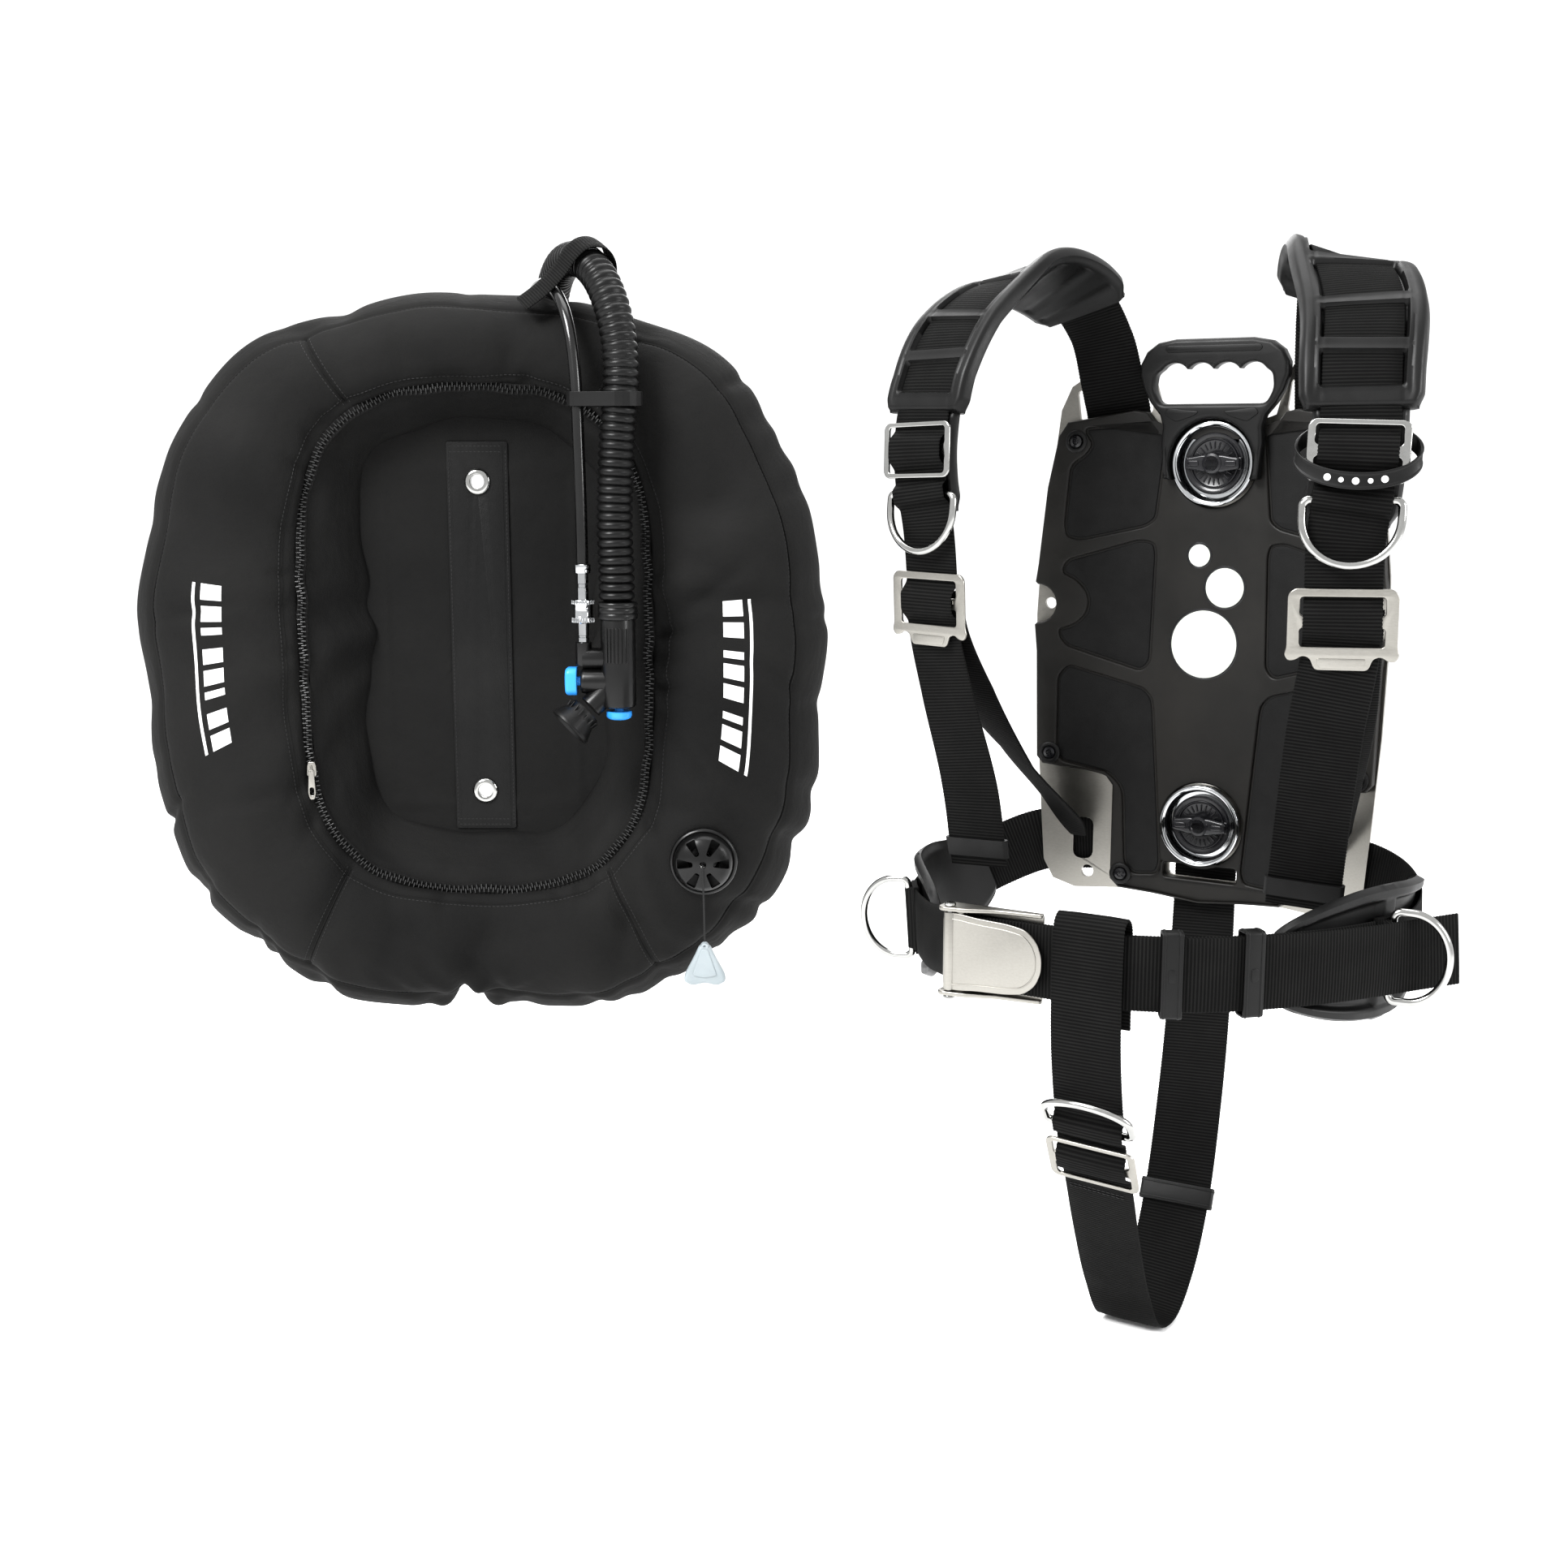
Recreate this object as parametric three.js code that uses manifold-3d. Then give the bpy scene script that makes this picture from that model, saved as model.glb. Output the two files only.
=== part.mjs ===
// Buoyancy compensator of the backplate-and-wing kind, laid out as two sub-assemblies.
// The harness holds a steel backplate, its moulded cover, two thumb knobs and the webbing.
// The wing holds the ring-shaped air cell, its dump valve and its inflator on a corrugated hose.
// Units are millimetres and +Z is up. The origin is on the backplate's back face, midway between
// its two bolt holes. The harness is modelled with its front towards -Y and then turned.
import * as THREE from 'three';
import { mergeVertices } from 'three/addons/utils/BufferGeometryUtils.js';
import Module from 'manifold-3d';

const wasm = await Module();
wasm.setup();

// ---- Driving dimensions ----
const HOLE_PITCH = 279.4;            // 11 inch bolt spacing shared by plate, knobs and wing
const WEB = 50;                      // webbing width
const WEB_T = 2.5;                   // webbing thickness
const GAP = 0.35;                    // clearance between pieces that touch
const GRID = 13;                     // distance between a strap's stations
const HARNESS_TURN = -32;            // degrees that the harness is turned about Z
const WING_PLACE = [-605, 248.5, -18.8];

const PLATE_T = 3;
const PLATE_FLAT = 40;               // half-width of the flat spine
const PLATE_FOLD = Math.tan(THREE.MathUtils.degToRad(9));
const COVER_T = 8;
const BEZEL_R = 32.5;
const KNOB_R = 24;
const SLOT_TOP = { x: 82, z: 186.5, tilt: 7, w: 57, h: 24 };

const WING_OUT = { x: 3, z: -22, a: 305, b: 322, n: 2.6, m: 2.6 };
const ZIP_LINE = { x: 2, z: 0, a: 152, b: 222, n: 2.6, m: 4.2 };
const WING_STEPS = 36;
const CELL_DEPTH = 70;               // half the depth of the full air cell
const SHELL_T = 1.5;
const ZIP_Y = -44.6;
const VALVE = { x: 202, z: -190 };
const ELBOW = { x: 60, z: 252 };
const HOSE_R = 15.5;                 // corrugated hose, outside its ribs
const LP_R = 5.2;                    // low-pressure hose
const INFLATOR = { x: 131, y: -92 };
const QD_X = 101.5;                  // axis of the quick-disconnect post
const CORD_R = 0.9;
const STEM_R = 4;
const BUTTON_TRAVEL = 3;

const COLOURS = {
  webbing: [0x101012, 0.85, 0],
  rubber: [0x17181a, 0.55, 0],
  cover: [0x1b1a19, 0.6, 0],
  steel: [0xc9c7c2, 0.28, 1],
  chrome: [0xe0e2e4, 0.12, 1],
  knob: [0x141518, 0.3, 0],
  cloth: [0x0e0e0f, 0.9, 0],
  plastic: [0x111214, 0.4, 0],
  blue: [0x3c96e1, 0.45, 0],
  white: [0xe6eaec, 0.5, 0],
  bladder: [0x8a8d90, 0.5, 0],
};

// ---- General helpers ----
const vec = (x, y, z) => new THREE.Vector3(x, y, z);
const rad = THREE.MathUtils.degToRad;

function piece(group, name, geometry, look) {
  const [color, roughness, metalness] = COLOURS[look];
  const material = new THREE.MeshStandardMaterial({ color, roughness, metalness });
  const mesh = new THREE.Mesh(geometry, material);
  mesh.name = name;
  group.add(mesh);
  return mesh;
}

function solid(geometry) {
  const bare = geometry.clone();
  bare.deleteAttribute('normal');
  bare.deleteAttribute('uv');
  const merged = mergeVertices(bare, 1e-4);
  const triVerts = new Uint32Array(merged.index.array);
  const vertProperties = merged.attributes.position.array;
  return new wasm.Manifold(new wasm.Mesh({ numProp: 3, vertProperties, triVerts }));
}

function geometryOf(body) {
  const mesh = body.getMesh();
  const geometry = new THREE.BufferGeometry();
  geometry.setAttribute('position', new THREE.BufferAttribute(mesh.vertProperties, 3));
  geometry.setIndex(new THREE.BufferAttribute(mesh.triVerts, 1));
  return geometry;
}

const join = (...parts) => geometryOf(parts.map(solid).reduce((sum, next) => sum.add(next)));

function cut(geometry, ...tools) {
  return geometryOf(tools.map(solid).reduce((rest, tool) => rest.subtract(tool), solid(geometry)));
}

// Turns every face round where a closed body's faces point inwards.
function faceOutwards(positions, index) {
  let volume = 0;
  for (let i = 0; i < index.length; i += 3) {
    const corner = (k) => vec(...positions.slice(3 * index[i + k], 3 * index[i + k] + 3));
    const [a, b, c] = [0, 1, 2].map(corner);
    volume += a.dot(b.cross(c));
  }
  return volume < 0 ? [...index].reverse() : index;
}

// A closed body that carries one section along stations of { at, across, out, scale, deep }.
// Its faces are split along the same diagonal on both sides, so that twisted neighbours nest.
function sweep(section, stations, closed = false) {
  const outline = section.map(([a, o]) => new THREE.Vector2(a, o));
  if (THREE.ShapeUtils.area(outline) < 0) {
    outline.reverse();
  }
  const count = outline.length;
  const positions = [];
  for (const { at, across, out, scale = 1, deep = 1 } of stations) {
    for (const { x, y } of outline) {
      const corner = at.clone().addScaledVector(across, x * scale).addScaledVector(out, y * deep);
      positions.push(corner.x, corner.y, corner.z);
    }
  }
  const index = [];
  const spans = closed ? stations.length : stations.length - 1;
  for (let i = 0; i < spans; i += 1) {
    const here = i * count;
    const next = ((i + 1) % stations.length) * count;
    for (let k = 0; k < count; k += 1) {
      const l = (k + 1) % count;
      if (outline[k].x < outline[l].x) {
        index.push(here + k, next + k, here + l);
        index.push(here + l, next + k, next + l);
      } else {
        index.push(here + k, next + k, next + l);
        index.push(here + k, next + l, here + l);
      }
    }
  }
  if (!closed) {
    const last = (stations.length - 1) * count;
    for (const [a, b, c] of THREE.ShapeUtils.triangulateShape(outline, [])) {
      index.push(a, b, c);
      index.push(last + c, last + b, last + a);
    }
  }
  const geometry = new THREE.BufferGeometry();
  geometry.setAttribute('position', new THREE.Float32BufferAttribute(positions, 3));
  geometry.setIndex(faceOutwards(positions, index));
  return geometry;
}

const rectangle = (w, t, lift = 0) => [
  [-w / 2, lift - t / 2],
  [w / 2, lift - t / 2],
  [w / 2, lift + t / 2],
  [-w / 2, lift + t / 2],
];

function circle(radius, sides) {
  const points = [];
  for (let i = 0; i < sides; i += 1) {
    const angle = (2 * Math.PI * i) / sides;
    points.push([radius * Math.cos(angle), radius * Math.sin(angle)]);
  }
  return points;
}

function shapeOf(points, holes = []) {
  const shape = new THREE.Shape(points.map(([x, y]) => new THREE.Vector2(x, y)));
  shape.holes = holes.map((hole) => new THREE.Path(hole.map(([x, y]) => new THREE.Vector2(x, y))));
  return shape;
}

function extrude(points, depth, holes = []) {
  const options = { depth, bevelEnabled: false, curveSegments: 8 };
  return new THREE.ExtrudeGeometry(shapeOf(points, holes), options);
}

// An outline in X and Z, extruded along Y from yBack towards the front.
function slab(points, yBack, thickness, holes = []) {
  return extrude(points, thickness, holes).rotateX(Math.PI / 2).translate(0, yBack, 0);
}

// A body turned about the Y axis from a closed profile of [radius, y] points.
function turned(profile, sides = 32) {
  const points = [...profile, profile[0]].map(([r, y]) => new THREE.Vector2(r, y));
  const geometry = new THREE.LatheGeometry(points, sides);
  const test = solid(geometry);
  if (test.volume() > 0) {
    return geometryOf(test);
  }
  const back = [...profile, profile[0]].reverse().map(([r, y]) => new THREE.Vector2(r, y));
  return geometryOf(solid(new THREE.LatheGeometry(back, sides)));
}

function rod(radius, length, sides = 24) {
  return new THREE.CylinderGeometry(radius, radius, length, sides);
}

function tube(route, radius, sides, steps) {
  const curve = new THREE.CatmullRomCurve3(route.map((p) => vec(...p)), false, 'centripetal');
  const options = { steps, extrudePath: curve, bevelEnabled: false };
  return new THREE.ExtrudeGeometry(shapeOf(circle(radius, sides)), options);
}

function roundedBox(w, h, r, steps = 4) {
  const points = [];
  const corners = [[1, 1, 0], [-1, 1, 90], [-1, -1, 180], [1, -1, 270]];
  for (const [sx, sy, start] of corners) {
    for (let i = 0; i <= steps; i += 1) {
      const angle = rad(start + (90 * i) / steps);
      const x = sx * (w / 2 - r) + r * Math.cos(angle);
      const y = sy * (h / 2 - r) + r * Math.sin(angle);
      points.push([x, y]);
    }
  }
  return points;
}

const moved = (points, dx, dy) => points.map(([x, y]) => [x + dx, y + dy]);
const mirrored = (points) => points.map(([x, y]) => [-x, y]).reverse();

function turnedBy(points, degrees) {
  const c = Math.cos(rad(degrees));
  const s = Math.sin(rad(degrees));
  return points.map(([x, y]) => [c * x - s * y, s * x + c * y]);
}

// ---- Webbing ----
// A strap follows control points of [x, y, z, across x, across y, across z, width factor].
// Its lifts raise it off that line, towards its outer side, where it passes over a bar.
class Strap {
  constructor(points, lifts = []) {
    this.across = points.map((p) => vec(p[3], p[4], p[5]));
    this.factor = points.map((p) => p[6] ?? 1);
    const line = points.map((p) => vec(p[0], p[1], p[2]));
    this.curve = new THREE.CatmullRomCurve3(line, false, 'centripetal');
    this.curve.arcLengthDivisions = 400;
    this.length = this.curve.getLength();
    this.lifts = lifts;
  }

  liftAt(s) {
    let lift = 0;
    for (let i = 1; i < this.lifts.length; i += 1) {
      const [s0, h0] = this.lifts[i - 1];
      const [s1, h1] = this.lifts[i];
      if (s >= s0 && s <= s1) {
        lift = h0 + ((h1 - h0) * (s - s0)) / (s1 - s0);
      }
    }
    return lift;
  }

  at(s, lift = this.liftAt(s)) {
    const t = this.curve.getUtoTmapping(Math.min(Math.max(s / this.length, 0), 1));
    const along = this.curve.getTangent(t).normalize();
    const place = t * (this.across.length - 1);
    const i = Math.min(Math.floor(place), this.across.length - 2);
    const across = this.across[i].clone().lerp(this.across[i + 1], place - i);
    across.addScaledVector(along, -across.dot(along)).normalize();
    const out = across.clone().cross(along);
    const scale = this.factor[i] + (this.factor[i + 1] - this.factor[i]) * (place - i);
    return { at: this.curve.getPoint(t).addScaledVector(out, lift), across, along, out, scale };
  }

  near(x, y, z) {
    const target = vec(x, y, z);
    let best = 0;
    for (let s = 0; s <= this.length; s += 0.5) {
      if (this.at(s, 0).at.distanceTo(target) < this.at(best, 0).at.distanceTo(target)) {
        best = s;
      }
    }
    return best;
  }

  // Stations lie on one grid for the strap and for what lies against it, so that both bend alike.
  stations(from, to, flat = false) {
    const stops = flat ? [] : this.lifts.map(([s]) => s).filter((s) => s > from && s < to);
    for (let s = 0; s < to; s += GRID) {
      if (s > from && (flat || stops.every((stop) => Math.abs(stop - s) > 2))) {
        stops.push(s);
      }
    }
    stops.push(from, to);
    stops.sort((p, q) => p - q);
    return stops.map((s) => this.at(s, flat ? 0 : this.liftAt(s)));
  }

  ribbon() {
    return sweep(rectangle(WEB, WEB_T), this.stations(0, this.length));
  }

  band(section, from, to) {
    return sweep(section, this.stations(from, to, true));
  }
}

// Puts a piece modelled in X (across), Y (along) and Z (out) on a strap's station.
function placeOn(mesh, station, lift = 0) {
  const { at, across, along, out } = station;
  const basis = new THREE.Matrix4().makeBasis(across, along, out);
  basis.setPosition(at.clone().addScaledVector(out, lift));
  mesh.applyMatrix4(basis);
  return mesh;
}

// The lifts of a strap that goes under a slider's end bars and over its middle bar.
const WEAVE = 7;
const FRAME_LIFT = 3.5;
const weave = (s) => [[s - 16, 0], [s - 4.6, WEAVE], [s + 4.6, WEAVE], [s + 16, 0]];
const over = (s, lift) => [[s - 8.5, 0], [s - 3.5, lift], [s + 3.5, lift], [s + 10, 0]];

// A three-bar slider: two slots in a flat plate, modelled about its middle bar.
const SLIDER = { w: 64, h: 40, t: 2.4, slot: 54, near: 4, far: 16.5 };

function sliderShape(extra = []) {
  const { w, h, slot, near, far } = SLIDER;
  const hole = roundedBox(slot, far - near, 2, 2);
  const holes = [moved(hole, 0, (near + far) / 2), moved(hole, 0, -(near + far) / 2)];
  const outline = extra.length ? extra : roundedBox(w, h, 6, 3);
  return extrude(outline, SLIDER.t, holes).translate(0, 0, -SLIDER.t / 2);
}

// A D-ring about its straight bar, which lies on X at the origin. It hangs along +Y.
function dRing(half, drop, wire) {
  const path = [[-half + 3, 0], [half - 3, 0], [half, 3], [half, 12]];
  const turns = 8;
  for (let i = 1; i < turns; i += 1) {
    const angle = (Math.PI * i) / turns;
    path.push([half * Math.cos(angle), 12 + (drop - 12) * Math.sin(angle)]);
  }
  path.push([-half, 12], [-half, 3]);
  const stations = path.map(([x, y], i) => {
    const [nx, ny] = path[(i + 1) % path.length];
    const [px, py] = path[(i + path.length - 1) % path.length];
    const along = vec(nx - px, ny - py, 0).normalize();
    const across = vec(0, 0, 1);
    return { at: vec(x, y, 0), across, out: across.clone().cross(along) };
  });
  return sweep(circle(wire, 8), stations, true);
}

// ---- Harness ----
const harness = new THREE.Group();
harness.rotation.z = rad(HARNESS_TURN);

// The plate's back face falls away in front of the flat spine.
const plateBack = (x) => -PLATE_FOLD * Math.max(0, Math.abs(x) - PLATE_FLAT);

function foldedSheet(yOffset, thickness) {
  const reach = 160;
  const rear = [[-reach, plateBack(reach)], [-PLATE_FLAT, 0], [PLATE_FLAT, 0], [reach, plateBack(reach)]];
  const front = rear.map(([x, y]) => [x, y - thickness]).reverse();
  const section = moved([...rear, ...front], 0, yOffset).reverse();
  return extrude(section, 460).translate(0, 0, -230);
}

function symmetric(half) {
  return [...half, ...mirrored(half)];
}

function backplate() {
  const half = [
    [0, -194], [60, -198], [104, -201], [122, -195], [130, -180], [133, -140], [138, -60],
    [140, 20], [138, 60], [131, 120], [124, 180], [116, 198], [104, 206], [66, 215], [56, 212],
    [50, 198], [44, 176], [30, 171], [0, 171],
  ];
  const prism = slab(symmetric(half), 40, 120);
  const bolt = circle(5.8, 20);
  const holes = [moved(bolt, 0, HOLE_PITCH / 2), moved(bolt, 0, -HOLE_PITCH / 2)];
  for (const side of [-1, 1]) {
    const { x, z, tilt, w, h } = SLOT_TOP;
    holes.push(moved(turnedBy(roundedBox(w, h, 3, 2), -side * tilt), side * x, z));
    holes.push(moved(roundedBox(16, 34, 6, 3), side * 98, -160));
    holes.push(moved(circle(5, 16), side * 94, -187));
    holes.push(moved(circle(4.5, 16), side * 129, 29));
  }
  holes.push(moved(roundedBox(56, 11, 3, 2), 0, -178));
  const tools = holes.map((hole) => solid(slab(hole, 40, 120)));
  const sheet = solid(foldedSheet(0, PLATE_T)).intersect(solid(prism));
  return geometryOf(tools.reduce((rest, tool) => rest.subtract(tool), sheet));
}

function backPad() {
  const notch = [];
  for (let i = 0; i <= 6; i += 1) {
    const angle = rad(-90 - 30 * i);
    notch.push([137 + 15 * Math.cos(angle), 29 + 15 * Math.sin(angle)]);
  }
  const half = [
    [0, -203], [30, -200], [68, -196], [73, -188], [73, -112], [80, -104], [134, -100], [137, -9],
    [139, 12], ...notch, [139, 46], [137, 60], [131, 120], [122, 165], [116, 171], [62, 180],
    [52, 178], [40, 160], [0, 160],
  ];
  const prism = slab(symmetric(half), 40, 120);
  const sheet = solid(foldedSheet(-PLATE_T - GAP, COVER_T)).intersect(solid(prism));
  const bezelHole = (end) => moved(circle(BEZEL_R + 0.6, 32), 0, (end * HOLE_PITCH) / 2);
  const tools = [-1, 1].map((end) => slab(bezelHole(end), 40, 120));
  tools.push(slab(moved(roundedBox(60, 12, 3, 2), 0, -178), 40, 120));
  return geometryOf(tools.map(solid).reduce((rest, tool) => rest.subtract(tool), sheet));
}

const COVER_FRONT = -PLATE_T - GAP - COVER_T;

function carryHandle() {
  const half = [
    [0, 232], [38, 232], [52, 226], [58, 214], [56, 202], [50, 186], [40, 176], [38, 166],
    [40, 150], [37, 126],
    [32.5, 126],
  ];
  const rim = [];
  for (let i = 0; i <= 12; i += 1) {
    const angle = rad(-25 + (230 * i) / 12);
    rim.push([(BEZEL_R + 1) * Math.cos(angle), HOLE_PITCH / 2 + (BEZEL_R + 1) * Math.sin(angle)]);
  }
  const left = mirrored(half);
  const grip = [
    [-42, 184], [42, 184], [46, 196], [44, 208], [38, 213], [27, 214], [22, 211], [16, 214], [7, 214],
    [0, 211], [-7, 214], [-16, 214], [-22, 211], [-27, 214], [-38, 213], [-44, 208], [-46, 196],
  ];
  const outline = [...half.slice(0, -1), ...rim, ...left.slice(1)];
  return slab(outline, COVER_FRONT - GAP, 11, [grip]);
}

function bezel() {
  return turned([
    [17, -PLATE_T - GAP], [BEZEL_R - 4, -PLATE_T - GAP], [BEZEL_R - 1, -12.5], [BEZEL_R, -14.5],
    [BEZEL_R - 2.5, -16.5],
    [BEZEL_R - 5, -15], [25.5, -6.2], [17, -6.2],
  ], 26);
}

function knob() {
  const bar = slab(roundedBox(43, 13, 5, 3), -10.5, 8);
  const stud = rod(4, 32, 20).translate(0, 8, 0);
  const disc = rod(KNOB_R - 0.5, 5, 32).translate(0, -9.2, 0);
  return join(disc, bar, stud);
}

piece(harness, 'backplate', backplate(), 'steel');
piece(harness, 'back_pad', backPad(), 'cover');
piece(harness, 'carry_handle', carryHandle(), 'rubber');
for (const [name, end] of [['upper', 1], ['lower', -1]]) {
  const height = (end * HOLE_PITCH) / 2;
  piece(harness, `${name}_bezel`, bezel(), 'chrome').position.set(0, 0, height);
  piece(harness, `${name}_knob`, knob(), 'knob').position.set(0, 0, height);
}

// Shoulder straps: from behind the plate, through its top slot, over the shoulder to the tail.
const mirrorStation = ([x, y, z, ax, ay, az, k]) => [-x, y, z, ax, -ay, -az, k ?? 1];
const mirrorStrap = (points) => points.map(mirrorStation);

const SHOULDER = [
  [80, -4.4, 158, -1, 0.158, 0.1], [81, -4.6, 177, -1, 0.158, 0.1], [82, -9, 189, -1, 0.158, 0.1],
  [83.5, -14.2, 202, -1, 0.1, 0.1],
  [88, -28, 236, -1, 0, 0.12], [99, -62, 268, -0.95, 0.1, 0.25], [121, -105, 277, -0.9, 0.1, 0.3],
  [146, -150, 247, -0.95, -0.1, 0.2], [155, -178, 203, -0.966, -0.259, 0.1],
  [158, -187, 160, -0.966, -0.259, 0],
  [157, -188, 130, -0.966, -0.259, 0], [152, -185, 92, -0.966, -0.259, 0],
  [151, -181, 60, -0.966, -0.259, 0],
  [150, -178, 20, -0.966, -0.259, 0],
];
const TAILS = {
  left: [
    [142, -176, -33, -0.97, -0.25, 0], [131, -160, -105, -0.98, -0.2, 0],
    [122, -143, -163, -0.98, -0.2, 0],
  ],
  right: [
    [-143, -168, -30, -0.97, 0.2, 0], [-131, -153, -100, -0.98, 0.1, 0],
    [-126, -144, -162, -0.98, 0.1, 0],
  ],
};
// Lower straps: from the plate's lower slot up to the back of the strap buckle, with half a twist.
const LOWER = [
  [150, -171.2, 48, -0.966, -0.259, 0], [149, -169, 26, -0.966, -0.259, 0],
  [140, -138, -25, -0.9, -0.4, 0.1],
  [122, -90, -85, -0.8, -0.55, -0.2, 1], [104, -42, -132, -0.85, -0.3, -0.3, 0.9],
  [98, -21, -156, -0.9, 0, -0.2, 0.3],
];
const PAD = [
  [-39, -8.5], [39, -8.5], [40, -4], [38, 2.5], [35, 3.8], [28, 3.8], [28, -1.95], [-28, -1.95],
  [-28, 3.8], [-35, 3.8], [-38, 2.5], [-40, -4],
];

function hoseBand() {
  const stations = [];
  for (let i = 0; i < 24; i += 1) {
    const angle = (2 * Math.PI * i) / 24;
    const at = vec(38.5 * Math.cos(angle), 17 * Math.sin(angle), 12 * Math.sin(angle));
    const out = vec(12 * Math.cos(angle), 0, 38.5 * Math.sin(angle)).normalize();
    stations.push({ at, across: vec(0, 1, 0), out });
  }
  return sweep(rectangle(11, 1.8), stations, true);
}

function strapBuckle() {
  const outline = [
    [-33, -22], [33, -22], [35, -18], [35, 18], [32, 22], [22, 23], [19, 32], [-19, 32], [-22, 23],
    [-32, 22], [-35, 18], [-35, -18],
  ];
  return sliderShape(outline);
}

for (const side of ['left', 'right']) {
  const route = side === 'left' ? SHOULDER : mirrorStrap(SHOULDER);
  const points = [...route, ...TAILS[side]];
  const probe = new Strap(points);
  const sign = side === 'left' ? 1 : -1;
  const sliderAt = probe.near(158 * sign, -188, 150);
  const ringAt = sliderAt + 31;
  const buckleAt = probe.near(151 * sign, -180, 40);
  const strap = new Strap(points, [...weave(sliderAt), ...over(ringAt, 5.4), ...weave(buckleAt)]);
  piece(harness, `shoulder_strap_${side}`, strap.ribbon(), 'webbing');
  const padStart = strap.near(93 * sign, -45, 258);
  piece(harness, `shoulder_pad_${side}`, strap.band(PAD, padStart, sliderAt - 29), 'rubber');
  const slider = piece(harness, `shoulder_slider_${side}`, sliderShape(), 'steel');
  placeOn(slider, strap.at(sliderAt, 0), FRAME_LIFT);
  const hang = strap.at(ringAt, 0);
  hang.across.z = 0;
  hang.across.normalize();
  hang.along = vec(0, 0, -1).addScaledVector(hang.out, 0.09).normalize();
  hang.out = hang.across.clone().cross(hang.along);
  placeOn(piece(harness, `shoulder_d_ring_${side}`, dRing(31, 42, 2.75), 'steel'), hang, 0.4);
  const clamp = piece(harness, `strap_buckle_${side}`, strapBuckle(), 'steel');
  placeOn(clamp, strap.at(buckleAt, 0), FRAME_LIFT);
  const lower = new Strap(side === 'left' ? LOWER : mirrorStrap(LOWER));
  piece(harness, `lower_strap_${side}`, lower.ribbon(), 'webbing');
  if (side === 'left') {
    placeOn(piece(harness, 'hose_retainer_band', hoseBand(), 'rubber'), strap.at(sliderAt + 2, 0));
  }
}

// Waist belt. Its width runs up and down, and its outer side faces away from the body.
const BELT_Z = -186;
const LAYER = 4;                     // distance between the belt and its tail, middle to middle
const HIP_PAD = [
  [-46, -8.5], [46, -8.5], [48, -5], [45, -1.8], [-45, -1.8], [-48, -5],
];
const BELT_LEFT = [
  [70, -2.8, -160, 0, 0, 1], [100, -7.6, -161, 0, 0, 1], [133, -12.6, -164, 0, 0, 1],
  [163, -32, -171, 0.05, 0, 1],
  [186, -75, -180, 0.1, 0, 1], [190, -120, BELT_Z, 0.06, 0, 1], [172, -175, BELT_Z, 0, 0, 1],
  [140, -222, BELT_Z, 0, 0, 1], [98, -262, BELT_Z, 0, 0, 1], [56, -284, BELT_Z, 0, 0, 1],
  [28, -288, BELT_Z, 0, 0, 1], [-20, -288, BELT_Z, 0, 0, 1], [-64, -288, BELT_Z, 0, 0, 1],
];
const BELT_TAIL = [
  [-20, -288 - LAYER, BELT_Z, 0, 0, 1], [28, -288 - LAYER, BELT_Z, 0, 0, 1],
  [57, -288, BELT_Z, 0, 0, 1],
  [100.3, -265.5, BELT_Z, 0, 0, 1], [143, -225, BELT_Z, 0, 0, 1], [178.5, -179, BELT_Z, 0, 0, 1],
  [194, -154, BELT_Z, 0, 0, 1], [207, -138, BELT_Z + 1, 0, 0, 1], [224, -121, BELT_Z + 3, 0, 0, 1],
];
const BELT_RIGHT = [
  [-70, -2.8, -160, 0, 0, -1], [-100, -7.6, -161, 0, 0, -1], [-133, -12.6, -165, 0, 0, -1],
  [-165, -34, -180, 0.1, 0, -1], [-189, -80, -200, 0.15, 0, -1], [-184, -135, -208, 0.1, 0, -1],
  [-150, -185, -208, 0, 0, -1], [-112, -232, -199, 0, 0, -1], [-88, -264, -190, 0, 0, -1],
  [-74, -280.8, -187, 0, 0, -1], [-48, -282, BELT_Z, 0, 0, -1],
];
const FOLD_X = -64;

// One length of webbing: in along the inner layer, round the buckle's bar, back along the tail.
function foldedBelt(inner, tail) {
  const inward = inner.stations(0, inner.length, true);
  const fold = [];
  for (let i = 1; i < 6; i += 1) {
    const angle = rad(30 * i);
    const x = FOLD_X - (LAYER / 2) * Math.sin(angle);
    const y = -288 - (LAYER / 2) * (1 - Math.cos(angle));
    fold.push({ at: vec(x, y, BELT_Z), along: vec(-Math.cos(angle), -Math.sin(angle), 0) });
  }
  fold.push({ at: vec(FOLD_X, -288 - LAYER, BELT_Z), along: vec(1, 0, 0) });
  const outward = tail.stations(0, tail.length, true);
  for (const station of [...fold, ...outward]) {
    station.across = vec(0, 0, 1);
    station.out = station.across.clone().cross(station.along);
  }
  return [...inward, ...fold, ...outward];
}

// Hip pads lie on the belt's inner side and carry its edges between two rims.
function hipPad(strap, from, to) {
  const stations = strap.stations(from, to, true);
  for (const [i, station] of stations.entries()) {
    station.scale = 0.72 + 0.28 * Math.sin((Math.PI * i) / (stations.length - 1));
  }
  return sweep(HIP_PAD, stations);
}

// A rectangular band round both belt layers, open along Y.
function keeper(w, h, along, wall) {
  const hole = roundedBox(w - 2 * wall, h - 2 * wall, 1, 1);
  return extrude(roundedBox(w, h, 2.5, 2), along, [hole]).rotateX(Math.PI / 2).translate(0, along / 2, 0);
}

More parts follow.
